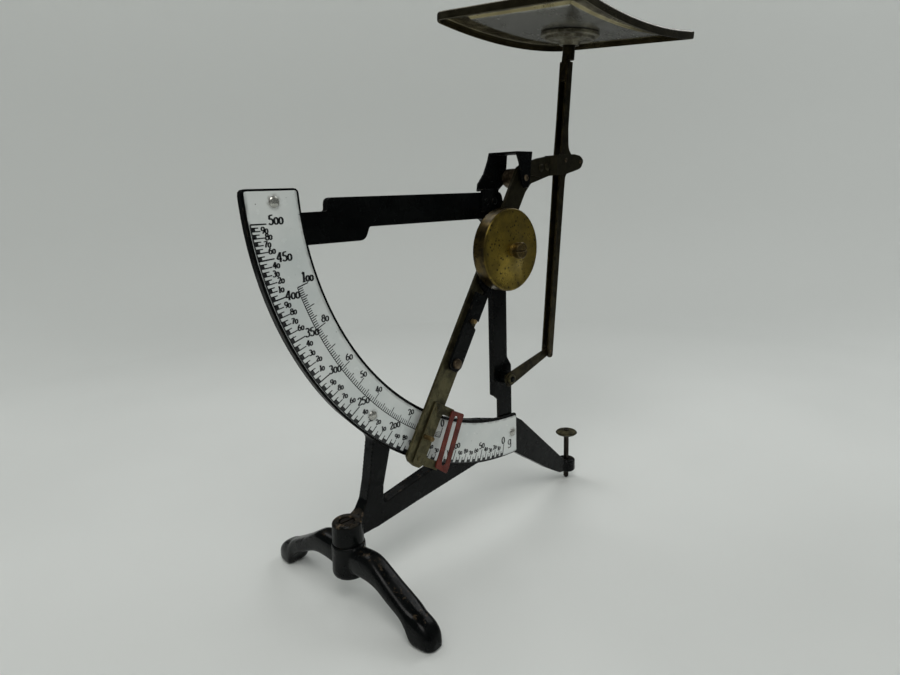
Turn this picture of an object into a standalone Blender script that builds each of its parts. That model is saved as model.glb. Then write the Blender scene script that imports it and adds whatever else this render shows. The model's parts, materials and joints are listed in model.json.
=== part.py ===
"""Two-range pendulum letter balance with a quadrant dial.

Lengths are in millimetres in this file and are turned into metres when an
object is made.  X runs to the right along the frame arm, Y runs back from the
dial, Z is up.  Outlines are drawn with the lever pivot at x = 0, z = 0 and the
front of the dial plate at y = 0; SHIFT then moves everything so that the
bounding box stands centred on the table.
"""
import math

import bmesh
import bpy
from mathutils import Matrix, Vector
from mathutils.geometry import tessellate_polygon

MM = 0.001

# ---------------------------------------------------------------- dimensions
GAP = 0.2                  # air left between two pieces that touch

# quadrant dial
DIAL_OUTER_R = 140.4
DIAL_INNER_R = 120.6
PLATE_T = 0.6
TRAY_OUTER_R = 141.3
TRAY_INNER_R = 119.3
TRAY_FRONT = PLATE_T + GAP
TRAY_BACK = TRAY_FRONT + 0.7
TRAY_WALL = 0.9
TRAY_LIP = TRAY_BACK + 0.15
TRAY_OUTER_RIM = 3.7
TRAY_INNER_RIM = 5.6
RIVET_SPOTS = {"top": (-129.75, -6.6), "middle": (-93.8, -94.8), "bottom": (-4.9, -129.1)}

# pressed frame: horizontal arm and post
FRAME_FRONT = 1.9
FRAME_T = 1.0
FRAME_RIM = 5.1

# base casting
CAST_FRONT = 1.9
CAST_BACK = 7.9
CAST_MID = 4.0             # the hub and both screws stand on this line
TABLE_Z = -175.0
HUB_X = -107.8
HUB_R = 6.4
HUB_TOP = -138.5
HUB_BOTTOM = -148.0
SCREW_X = 49.0
BOSS_R = 5.2
BOSS_TOP = -163.0
BOSS_BOTTOM = -170.0
LEVEL_R = 1.5
KNOB_R = 6.3
FOOT_YAW = 3.0             # degrees the screwed-on foot sits off square

# lever
BAR_ANGLE = 32.1           # degrees of the pointer bar from straight down
BAR_HALF = 5.4
LEVER_FRONT = -3.9
LEVER_BACK = -2.5
AXLE_R = 1.5
ARM_LENGTH = 31.5          # lever pivot to rod pivot
ARM_ANGLE = 15.2           # degrees the short arm rises at rest
RANGE_PIVOT_S = 95.3
WEIGHT_S = 37.9
UPPER_STOP_S = 74.5
LOWER_STOP_S = 2 * RANGE_PIVOT_S - 60.1
STOP_R = 1.1
RANGE_HALF = 3.9
RANGE_FRONT = -6.7
RANGE_BACK = -5.3
WEIGHT_R = 18.9
WEIGHT_BACK = -6.9
WEIGHT_FRONT = -14.0

# parallel linkage
LINK_PIVOT = (-10.1, -98.0)
ROD_MID = -3.5
ROD_DEPTH = 4.6
ROD_T = 0.8
PIN_R = 1.0

# pan
PAN_X = 36.6
PAN_HALF_X = 55.5
PAN_HALF_Y = 40.3
PAN_SAG = 4.0
PAN_YAW = 2.6              # degrees the plate sits off square
PAN_LEAN = 5.0             # degrees the bent stem tips the plate forwards
PAN_CORNER = 1.9           # cut from each corner, so that it reads as rounded
PAN_T = 0.55
PAN_RIM = 4.2
PAN_Z = 68.9               # underside of the pan above its flange
SPIGOT_R = 3.0
SPIGOT_FOOT = 56.3         # where the round stem leaves the rod

# the two feet reach furthest in y, the dial tray and the pan in x
FOOT_REACH = 51.6
FOOT_TIP_HALF = 2.2
FOOT_SPAN_Y = FOOT_REACH * math.cos(math.radians(FOOT_YAW)) + FOOT_TIP_HALF * math.sin(
    math.radians(FOOT_YAW))
PAN_RIGHT = PAN_X + PAN_HALF_X * math.cos(math.radians(PAN_YAW)) + (
    0.93 * PAN_HALF_Y * math.sin(math.radians(PAN_YAW)))
SHIFT = Vector((-(PAN_RIGHT - TRAY_OUTER_R) / 2, -CAST_MID, -TABLE_Z))


# ------------------------------------------------------------------- helpers
def clear_scene():
    for obj in list(bpy.data.objects):
        bpy.data.objects.remove(obj, do_unlink=True)


def material(name, colour, roughness, metallic):
    mat = bpy.data.materials.new(name)
    mat.use_nodes = True
    shader = mat.node_tree.nodes["Principled BSDF"]
    shader.inputs["Base Color"].default_value = (*colour, 1.0)
    shader.inputs["Roughness"].default_value = roughness
    shader.inputs["Metallic"].default_value = metallic
    mat.diffuse_color = (*colour, 1.0)
    return mat


def solid(name, verts, faces, mat, at=(0, 0, 0), sharp=38):
    """One closed body; verts are in the pivot frame, at is the object's origin."""
    bm = bmesh.new()
    made = [bm.verts.new(Vector(v) - Vector(at)) for v in verts]
    for face in faces:
        bm.faces.new([made[i] for i in face])
    bmesh.ops.recalc_face_normals(bm, faces=bm.faces)
    bmesh.ops.scale(bm, vec=(MM, MM, MM), verts=bm.verts)
    mesh = bpy.data.meshes.new(name)
    bm.to_mesh(mesh)
    bm.free()
    obj = bpy.data.objects.new(name, mesh)
    bpy.context.scene.collection.objects.link(obj)
    obj.location = (Vector(at) + SHIFT) * MM
    if mat:
        mesh.materials.append(mat)
    soften(mesh, sharp)
    return obj


def soften(mesh, sharp):
    for poly in mesh.polygons:
        poly.use_smooth = True
    mesh.set_sharp_from_angle(angle=math.radians(sharp))


def cap(loops, base):
    """Triangles that fill an outline with holes, as vertex numbers."""
    flat = [[Vector((p[0], p[1], 0)) for p in loop] for loop in loops]
    return [tuple(base + i for i in tri) for tri in tessellate_polygon(flat)]


def prism(name, outline, holes, front, back, mat, at=(0, 0, 0), sharp=38):
    """Flat plate in the XZ plane between two depths."""
    loops = [outline] + list(holes)
    count = sum(len(loop) for loop in loops)
    verts = [(x, front, z) for loop in loops for x, z in loop]
    verts += [(x, back, z) for loop in loops for x, z in loop]
    if holes:
        faces = cap(loops, 0) + cap(loops, count)
    else:
        faces = [tuple(range(count)), tuple(range(count, 2 * count))]
    start = 0
    for loop in loops:
        size = len(loop)
        for i in range(size):
            j = (i + 1) % size
            faces.append((start + i, start + j, count + start + j, count + start + i))
        start += size
    return solid(name, verts, faces, mat, at, sharp)


def lathe(name, profile, axis, centre, steps, mat, at=None, sharp=38):
    """Turned piece. profile holds (radius, height along the axis), end to end.

    A profile that starts and ends on the axis closes itself; any other is
    closed as a ring.
    """
    verts = []
    rings = []
    for r, h in profile:
        if r == 0:
            rings.append([len(verts)])
            verts.append(spun(centre, axis, 0, 0, h))
            continue
        ring = []
        for i in range(steps):
            ring.append(len(verts))
            verts.append(spun(centre, axis, r, 2 * math.pi * i / steps, h))
        rings.append(ring)
    pairs = list(zip(rings, rings[1:]))
    if profile[0][0] != 0:
        pairs.append((rings[-1], rings[0]))
    faces = []
    for one, two in pairs:
        faces += band(one, two, steps)
    return solid(name, verts, faces, mat, at or centre, sharp)


def spun(centre, axis, r, turn, height):
    a = r * math.cos(turn)
    b = r * math.sin(turn)
    if axis == "Z":
        return (centre[0] + a, centre[1] + b, centre[2] + height)
    return (centre[0] + a, centre[1] + height, centre[2] + b)


def band(one, two, steps):
    if len(one) == 1 and len(two) == 1:
        return []
    faces = []
    for i in range(steps):
        j = (i + 1) % steps
        if len(one) == 1:
            faces.append((one[0], two[i], two[j]))
        elif len(two) == 1:
            faces.append((one[i], one[j], two[0]))
        else:
            faces.append((one[i], one[j], two[j], two[i]))
    return faces


def loft(name, sections, mat, at=(0, 0, 0), sharp=38):
    """Skin through sections that all have the same number of points."""
    size = len(sections[0])
    verts = [p for section in sections for p in section]
    faces = [tuple(range(size)), tuple(range(len(verts) - size, len(verts)))]
    for k in range(len(sections) - 1):
        for i in range(size):
            j = (i + 1) % size
            faces.append((k * size + i, k * size + j, (k + 1) * size + j, (k + 1) * size + i))
    return solid(name, verts, faces, mat, at, sharp)


def combine(target, other, operation):
    """Boolean of two solids; the second one is used up."""
    mod = target.modifiers.new("bool", "BOOLEAN")
    mod.operation = operation
    mod.solver = "EXACT"
    mod.object = other
    graph = bpy.context.evaluated_depsgraph_get()
    graph.update()
    mesh = bpy.data.meshes.new_from_object(target.evaluated_get(graph))
    target.modifiers.remove(mod)
    target.data = mesh
    bpy.data.objects.remove(other, do_unlink=True)
    soften(mesh, 38)


def drill(target, x, z, r, front, back, steps=16):
    cutter = prism("cutter", circle(x, z, r, steps), [], front, back, None)
    combine(target, cutter, "DIFFERENCE")


def circle(x, z, r, steps=16, phase=0.5):
    step = 2 * math.pi / steps
    return [(x + r * math.cos((i + phase) * step), z + r * math.sin((i + phase) * step))
            for i in range(steps)]


def rounded(points, steps=4):
    """Polygon whose corners (x, z, radius) are replaced by short arcs."""
    out = []
    size = len(points)
    for i in range(size):
        x, z, r = points[i]
        here = Vector((x, z))
        before = Vector(points[i - 1][:2]) - here
        after = Vector(points[(i + 1) % size][:2]) - here
        angle = before.angle(after, 0)
        if r <= 0 or angle > math.radians(176) or angle < math.radians(4):
            out.append((x, z))
            continue
        reach = min(r / math.tan(angle / 2), before.length * 0.48, after.length * 0.48)
        start = here + before.normalized() * reach
        end = here + after.normalized() * reach
        for k in range(steps + 1):
            t = k / steps
            p = (1 - t) ** 2 * start + 2 * t * (1 - t) * here + t * t * end
            out.append((p.x, p.y))
    return out


def polar(r, theta):
    """Point at radius r, theta degrees from straight down towards -X."""
    a = math.radians(theta)
    return (-r * math.sin(a), -r * math.cos(a))


def bar(s, t):
    """Point on the pointer: s down the bar from the pivot, t to its right."""
    a = math.radians(BAR_ANGLE)
    return (-s * math.sin(a) + t * math.cos(a), -s * math.cos(a) - t * math.sin(a))


def headed_rivet(name, x, z, shank_r, head_r, head, front, back, mat, steps=16):
    """Round-headed rivet along Y: head stands forward of front, shank ends at back."""
    profile = [(0, front - head), (head_r * 0.55, front - head * 0.86),
               (head_r * 0.88, front - head * 0.45), (head_r, front),
               (shank_r, front), (shank_r, back), (0, back)]
    return lathe(name, profile, "Y", (x, 0, z), steps, mat)


# --------------------------------------------------------------- dial pieces
def quadrant(outer, inner, top, right, steps, corner):
    """Quarter-ring outline cut square at its upper and right ends."""
    first = math.degrees(math.asin(-right / outer))
    last = math.degrees(math.acos(-top / outer))
    inner_first = math.degrees(math.asin(-right / inner))
    inner_last = math.degrees(math.acos(-top / inner))
    arc = [polar(outer, first + (last - first) * i / steps) for i in range(steps + 1)]
    back = [polar(inner, inner_last + (inner_first - inner_last) * i / steps)
            for i in range(steps + 1)]
    points = [(x, z, 0) for x, z in arc + back]
    for i in (0, steps, steps + 1, 2 * steps + 1):
        points[i] = (points[i][0], points[i][1], corner)
    return rounded(points, 3)


def dial_plate(mat):
    outline = quadrant(DIAL_OUTER_R, DIAL_INNER_R, -2.9, -1.7, 44, 0.8)
    holes = [circle(x, z, 1.35, 12) for x, z in RIVET_SPOTS.values()]
    prism("dial_plate", outline, holes, 0.0, PLATE_T, mat)


def rim_depth(x, z):
    """How far back the turned edge of the tray reaches at a point of its outline."""
    r = math.hypot(x, z)
    theta = math.degrees(math.atan2(-x, -z))
    if r > (TRAY_OUTER_R + TRAY_INNER_R) / 2:
        if theta < 47.5:
            return TRAY_LIP
        return min(TRAY_OUTER_RIM, TRAY_LIP + (theta - 47.5) * 0.5)
    if theta < 9 or theta > 78:
        return TRAY_LIP
    edge = min(theta - 9, 78 - theta)
    return min(TRAY_INNER_RIM, TRAY_LIP + edge * 1.6)


def dial_tray(mat):
    outline = quadrant(TRAY_OUTER_R, TRAY_INNER_R, -2.1, -0.6, 44, 2.2)
    inset = offset(outline, TRAY_WALL)
    holes = [circle(x, z, 1.35, 12) for x, z in RIVET_SPOTS.values()]
    rims = [rim_depth(x, z) for x, z in outline]
    tray("dial_tray", outline, inset, holes, TRAY_FRONT, TRAY_BACK, rims, mat)


def offset(outline, distance):
    """Outline moved inwards by a distance, corner by corner."""
    size = len(outline)
    area = sum(outline[i][0] * outline[(i + 1) % size][1]
               - outline[(i + 1) % size][0] * outline[i][1] for i in range(size))
    side = 1 if area > 0 else -1
    out = []
    for i in range(size):
        a = (Vector(outline[i]) - Vector(outline[i - 1])).normalized()
        b = (Vector(outline[(i + 1) % size]) - Vector(outline[i])).normalized()
        na = Vector((-a.y, a.x)) * side
        nb = Vector((-b.y, b.x)) * side
        mid = (na + nb).normalized()
        p = Vector(outline[i]) + mid * distance / max(0.4, mid.dot(na))
        out.append((p.x, p.y))
    return out


def tray(name, outline, inset, holes, front, back, rims, mat):
    """Sheet with a turned edge whose depth follows rims, and round holes."""
    size = len(outline)
    front_loops = [outline] + holes
    back_loops = [inset] + holes
    verts = [(x, front, z) for loop in front_loops for x, z in loop]
    count = len(verts)
    verts += [(x, back, z) for loop in back_loops for x, z in loop]
    outer_rim = len(verts)
    verts += [(x, rims[i], z) for i, (x, z) in enumerate(outline)]
    inner_rim = len(verts)
    verts += [(x, rims[i], z) for i, (x, z) in enumerate(inset)]
    faces = cap(front_loops, 0) + cap(back_loops, count)
    for i in range(size):
        j = (i + 1) % size
        faces.append((i, j, outer_rim + j, outer_rim + i))
        faces.append((outer_rim + i, outer_rim + j, inner_rim + j, inner_rim + i))
        faces.append((inner_rim + i, inner_rim + j, count + j, count + i))
    start = size
    for hole in holes:
        for i in range(len(hole)):
            j = (i + 1) % len(hole)
            faces.append((start + i, start + j, count + start + j, count + start + i))
        start += len(hole)
    return solid(name, verts, faces, mat)


# -------------------------------------------------------------- frame pieces
def frame_post_arm(mat):
    """Pressed channel: arm along the top, post down to the foot of the dial."""
    corners = [
        (-136.0, -3.4, 2.0), (-136.0, -24.0, 2.0), (-122.0, -22.6, 1.0),
        (-90.2, -22.8, 4.2), (-88.0, -17.6, 1.2), (-22.0, -18.0, 4.0),
        (-16.2, -24.0, 4.0), (-16.2, -106.8, 2.0), (-13.4, -109.4, 1.0),
        (-13.4, -134.0, 2.0), (-2.2, -134.2, 2.0), (-3.1, -118.0, 0.0),
        (-3.1, -93.0, 3.0), (-6.2, -88.2, 3.0), (-6.2, -16.0, 2.0),
        (-9.0, -6.1, 3.0), (-106.7, -5.8, 3.4), (-107.0, -10.8, 1.2),
        (-121.0, -10.8, 1.0), (-124.0, -3.4, 1.0)]
    outline = rounded(corners, 4)
    inset = offset(outline, FRAME_T)
    rims = [frame_rim(x, z) for x, z in outline]
    holes = [circle(*RIVET_SPOTS["top"], 1.35, 12), circle(*RIVET_SPOTS["bottom"], 1.35, 12),
             circle(*LINK_PIVOT, 1.7, 12)]
    holes += [circle(x, z, 1.2, 12) for x, z in YOKE_RIVETS]
    tray("frame_post_arm", outline, inset, holes, FRAME_FRONT, FRAME_FRONT + FRAME_T, rims, mat)


def frame_rim(x, z):
    if x < -117 or z < -107:
        return FRAME_FRONT + FRAME_T + 0.1
    return FRAME_RIM


YOKE_RIVETS = [(-20.6, -10.2), (-15.2, -10.2)]


def bearing_yoke(mat):
    """Bent strap: riveted foot, shelf over the arm, back leg, bridge, front leg."""
    path = [(1.2, -14.8), (1.2, -5.1), (8.1, -5.1), (8.1, -2.1), (8.1, 2.4), (8.1, 8.0),
            (8.1, 11.6), (-5.8, 11.6), (-5.8, 6.7), (-5.8, 0.0), (-5.8, -3.4), (-5.8, -4.6)]
    left = [-23.6, -23.6, -19.2, -18.6, -14.4, -11.5, -10.1, -6.7, -4.7, -3.5, -2.6, -1.4]
    right = [-12.0, -12.0, -3.4, 0.6, 1.6, 2.2, 2.6, 4.8, 3.9, 3.1, 2.3, 1.2]
    half = 0.5
    sections = []
    for i, (y, z) in enumerate(path):
        ny, nz = strap_normal(path, i)
        sections.append([(left[i], y + ny * half, z + nz * half),
                         (right[i], y + ny * half, z + nz * half),
                         (right[i], y - ny * half, z - nz * half),
                         (left[i], y - ny * half, z - nz * half)])
    obj = loft("bearing_yoke", sections, mat, sharp=30)
    drill(obj, 0, 0, AXLE_R + 0.09, -8, 10)
    for x, z in YOKE_RIVETS:
        drill(obj, x, z, 1.2, -1, 2, 12)


def strap_normal(path, i):
    """Mitred unit offset of a bent strip at one of its path points."""
    def side(a, b):
        d = Vector((b[0] - a[0], b[1] - a[1])).normalized()
        return Vector((-d.y, d.x))
    if i == 0:
        n = side(path[0], path[1])
        return n.x, n.y
    if i == len(path) - 1:
        n = side(path[-2], path[-1])
        return n.x, n.y
    a = side(path[i - 1], path[i])
    b = side(path[i], path[i + 1])
    mid = (a + b).normalized()
    mid = mid / max(0.4, mid.dot(a))
    return mid.x, mid.y


def base_casting(mat):
    corners = [
        (-92.8, -106.4, 3.0), (-99.0, -97.0, 3.0), (-96.0, -89.6, 3.0), (-89.5, -87.5, 3.0),
        (-84.4, -94.0, 3.0), (-83.2, -108.0, 2.0), (-84.3, -113.4, 0.0), (-88.9, -129.0, 0.0),
        (-89.6, -137.2, 1.6), (-60.2, -131.2, 0.0), (-47.0, -128.0, 4.0), (-34.0, -119.6, 3.0),
        (-16.0, -123.4, 3.0), (0.5, -122.6, 2.0), (5.5, -125.8, 2.0), (43.5, -161.0, 0.0),
        (49.0, -164.2, 0.0), (49.0, -169.2, 0.0), (40.6, -169.0, 6.0), (30.2, -163.0, 4.0),
        (-2.4, -141.1, 6.0), (-8.0, -138.9, 3.0), (-28.0, -138.7, 8.0), (-70.0, -143.8, 0.0),
        (-93.0, -147.0, 3.0), (-103.9, -147.4, 0.0), (-103.9, -138.9, 0.0),
        (-101.2, -137.4, 3.0), (-98.4, -133.0, 3.0), (-96.3, -125.0, 0.0)]
    obj = prism("base_casting", rounded(corners, 3), [], CAST_FRONT, CAST_BACK, mat)
    hub = [(0, HUB_TOP), (HUB_R - 0.7, HUB_TOP), (HUB_R, HUB_TOP - 0.8),
           (HUB_R + 0.4, HUB_BOTTOM), (0, HUB_BOTTOM)]
    boss = [(0, BOSS_TOP), (BOSS_R - 0.6, BOSS_TOP), (BOSS_R, BOSS_TOP - 0.6),
            (BOSS_R, BOSS_BOTTOM + 0.6), (BOSS_R - 0.6, BOSS_BOTTOM), (0, BOSS_BOTTOM)]
    combine(obj, lathe("hub", hub, "Z", (HUB_X, CAST_MID, 0), 28, mat), "UNION")
    combine(obj, lathe("boss", boss, "Z", (SCREW_X, CAST_MID, 0), 24, mat), "UNION")
    sink = [(0, HUB_TOP + 1), (3.5, HUB_TOP + 1), (3.5, HUB_TOP - 2.6), (1.8, HUB_TOP - 2.6),
            (1.8, HUB_BOTTOM - 1), (0, HUB_BOTTOM - 1)]
    bore = [(0, BOSS_TOP + 1), (LEVEL_R + 0.1, BOSS_TOP + 1), (LEVEL_R + 0.1, BOSS_BOTTOM - 1),
            (0, BOSS_BOTTOM - 1)]
    combine(obj, lathe("sink", sink, "Z", (HUB_X, CAST_MID, 0), 20, None), "DIFFERENCE")
    combine(obj, lathe("bore", bore, "Z", (SCREW_X, CAST_MID, 0), 16, None), "DIFFERENCE")
    seat = [(-17.0, -134.6), (-1.4, -134.6), (-1.4, -115.0), (-17.0, -115.0)]
    combine(obj, prism("seat", seat, [], CAST_FRONT - 1, FRAME_FRONT + FRAME_T + 0.3, None),
            "DIFFERENCE")
    drill(obj, *RIVET_SPOTS["middle"], 1.35, 0, 8, 12)
    drill(obj, *RIVET_SPOTS["bottom"], 1.35, 0, 8, 12)


FOOT_SECTIONS = [
    # distance out from the hub, top, underside, half width
    (0.0, -149.2, -160.5, 4.3), (9.0, -148.8, -158.4, 4.3), (14.5, -148.7, -158.2, 4.3),
    (18.2, -149.7, -158.6, 4.3), (22.7, -152.3, -159.8, 4.4), (28.7, -156.2, -162.8, 4.5),
    (35.7, -160.0, -166.2, 4.8), (39.4, -161.9, -170.0, 5.0), (41.6, -163.0, TABLE_Z, 5.1),
    (46.5, -165.2, TABLE_Z, 4.7), (50.0, -168.4, TABLE_Z, 3.7),
    (FOOT_REACH, -171.2, TABLE_Z + 1.0, FOOT_TIP_HALF)]


def foot_section(out, side):
    d, top, low, half = out
    y = CAST_MID + side * d
    shoulder = min(1.5, (top - low) * 0.3)
    return [(HUB_X - half, y, low), (HUB_X - half * 1.04, y, top - shoulder),
            (HUB_X - half * 0.66, y, top), (HUB_X + half * 0.66, y, top),
            (HUB_X + half * 1.04, y, top - shoulder), (HUB_X + half, y, low)]


def cross_foot(mat):
    """Separate cast foot: two arms arching down from a central boss."""
    sections = [foot_section(s, 1) for s in reversed(FOOT_SECTIONS)]
    sections += [foot_section(s, -1) for s in FOOT_SECTIONS[1:]]
    obj = loft("cross_foot", sections, mat, at=(HUB_X, CAST_MID, HUB_BOTTOM), sharp=34)
    top = HUB_BOTTOM - GAP
    boss = [(0, top), (6.9, top), (7.2, top - 0.4), (7.5, top - 13.4), (6.6, top - 14.8),
            (0, top - 14.8)]
    combine(obj, lathe("boss", boss, "Z", (HUB_X, CAST_MID, 0), 28, mat,
                       at=(HUB_X, CAST_MID, HUB_BOTTOM)), "UNION")
    hole = [(0, top + 1), (1.8, top + 1), (1.8, top - 9), (0, top - 9)]
    combine(obj, lathe("hole", hole, "Z", (HUB_X, CAST_MID, 0), 16, None,
                       at=(HUB_X, CAST_MID, HUB_BOTTOM)), "DIFFERENCE")
    obj.rotation_euler = (0, 0, math.radians(FOOT_YAW))


def slotted_screw(name, axis, centre, head_r, head_low, head_top, shank_r, shank_end, mat, slot):
    """Cheese-head screw with a slot; heights run along the axis."""
    sign = 1 if head_top > head_low else -1
    edge = 0.35 * sign
    profile = [(0, head_top), (head_r - 0.4, head_top), (head_r, head_top - edge),
               (head_r, head_low), (shank_r, head_low), (shank_r, shank_end), (0, shank_end)]
    obj = lathe(name, profile, axis, centre, 20, mat)
    low, high = sorted((head_top - 0.9 * sign, head_top + sign))
    wide = head_r + 1
    half = slot / 2
    x, y, z = centre
    if axis == "Z":
        box = [(x - wide, y - half), (x + wide, y - half), (x + wide, y + half),
               (x - wide, y + half)]
        rings = [[(px, py, level) for px, py in box] for level in (z + low, z + high)]
    else:
        box = [(x - wide, z - half), (x + wide, z - half), (x + wide, z + half),
               (x - wide, z + half)]
        rings = [[(px, level, pz) for px, pz in box] for level in (y + low, y + high)]
    combine(obj, loft("slot", rings, None), "DIFFERENCE")
    return obj


def levelling(steel, brass):
    at = (SCREW_X, CAST_MID, 0)
    shank = [(0, TABLE_Z), (0.9, TABLE_Z), (LEVEL_R, TABLE_Z + 0.8), (LEVEL_R, -144.6),
             (0.9, -144.2), (0, -144.2)]
    lathe("levelling_screw", shank, "Z", at, 16, steel)
    knob = [(LEVEL_R + 0.08, -148.2), (3.4, -148.1), (5.4, -147.4), (KNOB_R, -146.5),
            (5.6, -145.7), (3.4, -145.1), (LEVEL_R + 0.08, -145.0)]
    lathe("levelling_knob", knob, "Z", at, 24, brass, sharp=50)


# -------------------------------------------------------------- lever pieces
FORK_RIVETS = [(13.0, 4.7), (18.0, 5.2)]
FORK_TIP = (42.6, 7.6)
FORK_HALF = 3.1
FORK_T = 0.8
INDEX_BACK = LEVER_FRONT - GAP
INDEX_FRONT = INDEX_BACK - 0.7
INDEX_RIVETS = {"upper": (117.4, 0.8), "lower": (140.6, 1.4)}


def pointer_lever(mat):
    """Bell crank cut from sheet: long pointer bar and short load arm."""
    corners = [
        (*bar(141.4, -BAR_HALF), 0.0), (*bar(143.2, -3.4), 1.0), (*bar(144.3, 0.6), 0.0),
        (*bar(144.4, 3.9), 0.8), (*bar(143.0, BAR_HALF), 0.0), (*bar(4.4, BAR_HALF), 3.0),
        (6.5, -2.7, 2.0), (20.4, 0.7, 0.4), (20.4, 9.4, 0.4), (6.0, 7.2, 2.0), (0.5, 6.6, 2.0),
        (*bar(-2.6, -BAR_HALF), 2.5)]
    holes = [circle(0, 0, AXLE_R + 0.1), circle(*bar(RANGE_PIVOT_S, 0), 1.75, 12),
             circle(*bar(UPPER_STOP_S, 0), STOP_R + 0.1, 12),
             circle(*bar(LOWER_STOP_S, 0), STOP_R + 0.1, 12)]
    holes += [circle(*bar(s, t), 0.9, 12) for s, t in INDEX_RIVETS.values()]
    holes += [circle(x, z, 1.3, 12) for x, z in FORK_RIVETS]
    prism("pointer_lever", rounded(corners, 3), holes, LEVER_FRONT, LEVER_BACK, mat)


def fork_cheek(name, side, first, mat):
    """Cheek riveted beside the short arm, set outwards to clear the load rod."""
    stations = [(first, 4.0, 6.8), (first + 1.0, 1.2, 8.0), (13.0, 0.2, 9.2), (20.5, 0.8, 10.3),
                (22.8, 1.1, 10.7), (31.0, 1.6, 11.2), (37.8, 3.0, 11.3), (42.0, 4.0, 10.7),
                (43.8, 5.0, 9.9), (45.3, 7.4, 8.5)]
    sections = []
    for x, low, high in stations:
        if side < 0:
            inner = LEVER_FRONT - GAP if x < 21 else ROD_MID - FORK_HALF
        else:
            inner = LEVER_BACK + GAP if x < 21 else ROD_MID + FORK_HALF
        outer = inner + side * FORK_T
        sections.append([(x, inner, low), (x, inner, high), (x, outer, high), (x, outer, low)])
    obj = loft(name, sections, mat, sharp=30)
    for x, z in FORK_RIVETS:
        drill(obj, x, z, 1.3, -9, 3, 12)
    drill(obj, *rod_pivot(), PIN_R + 0.1, -9, 3, 12)
    drill(obj, *FORK_TIP, 0.9, -9, 3, 12)


def fork_tip_pin(mat):
    """Spacer that keeps the two free ends of the fork apart."""
    reach = FORK_HALF + FORK_T
    half = FORK_HALF - GAP
    profile = [(0, ROD_MID - reach - 0.6), (0.6, ROD_MID - reach - 0.5), (0.8, ROD_MID - reach),
               (0.8, ROD_MID - half), (1.2, ROD_MID - half), (1.2, ROD_MID + half),
               (0.8, ROD_MID + half), (0.8, ROD_MID + reach), (0.6, ROD_MID + reach + 0.5),
               (0, ROD_MID + reach + 0.6)]
    lathe("fork_tip_pin", profile, "Y", (FORK_TIP[0], 0, FORK_TIP[1]), 12, mat)


def rod_pivot():
    a = math.radians(ARM_ANGLE)
    return (ARM_LENGTH * math.cos(a), ARM_LENGTH * math.sin(a))


def foot_pivot():
    px, pz = rod_pivot()
    return (px + LINK_PIVOT[0], pz + LINK_PIVOT[1])


def axle_and_hub(steel, brass, dark):
    axle = [(0, -6.9), (1.1, -6.8), (AXLE_R, -6.4), (AXLE_R, 8.9), (1.1, 9.2), (0, 9.3)]
    lathe("lever_axle", axle, "Y", (0, 0, 0), 16, steel)
    inner = AXLE_R + 0.1
    hub = [(inner, LEVER_BACK + GAP), (4.6, LEVER_BACK + GAP), (4.6, 4.8), (4.2, 5.2),
           (inner, 5.2)]
    lathe("axle_hub", hub, "Y", (0, 0, 0), 20, dark)
    bush = [(inner, 5.4), (3.4, 5.4), (3.4, 6.9), (3.0, 7.2), (inner, 7.2)]
    lathe("hub_bush", bush, "Y", (0, 0, 0), 20, brass)


def index_bracket(mat):
    """Plate on the front of the pointer with two arms that carry the reading frame."""
    corners = [(114.4, -1.8, 1.0), (114.4, 11.4, 0.0), (118.2, 11.8, 0.0), (118.6, 4.9, 1.0),
               (138.8, 4.9, 1.0), (139.2, 14.2, 0.0), (142.8, 14.4, 0.0), (142.8, -1.8, 1.0)]
    outline = [bar(s, t) for s, t in rounded(corners, 3)]
    holes = [circle(*bar(s, t), 0.9, 12) for s, t in INDEX_RIVETS.values()]
    holes.append(circle(*bar(LOWER_STOP_S, 0), STOP_R + 0.1, 12))
    prism("index_bracket", outline, holes, INDEX_BACK, INDEX_FRONT, mat)


def index_frame(mat):
    """Slotted reading frame; the slot points at the lever pivot."""
    corners = [(115.0, 9.3, 1.0), (114.4, 17.9, 1.0), (142.8, 21.0, 1.0), (141.8, 12.2, 1.0)]
    outline = [bar(s, t) for s, t in rounded(corners, 3)]
    slot = [bar(s, t) for s, t in slot_loop((118.2, 13.7), (138.4, 16.4), 1.5)]
    prism("index_frame", outline, [slot], INDEX_FRONT - GAP, INDEX_FRONT - 0.9, mat)


def slot_loop(one, two, r, steps=6):
    a = Vector(one)
    b = Vector(two)
    along = (b - a).normalized()
    across = Vector((-along.y, along.x))
    out = []
    for centre, way in ((a, -1), (b, 1)):
        for k in range(steps + 1):
            turn = math.pi * (k / steps - 0.5)
            p = centre + way * r * (along * math.cos(turn) + across * math.sin(turn))
            out.append((p.x, p.y))
    return out


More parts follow.
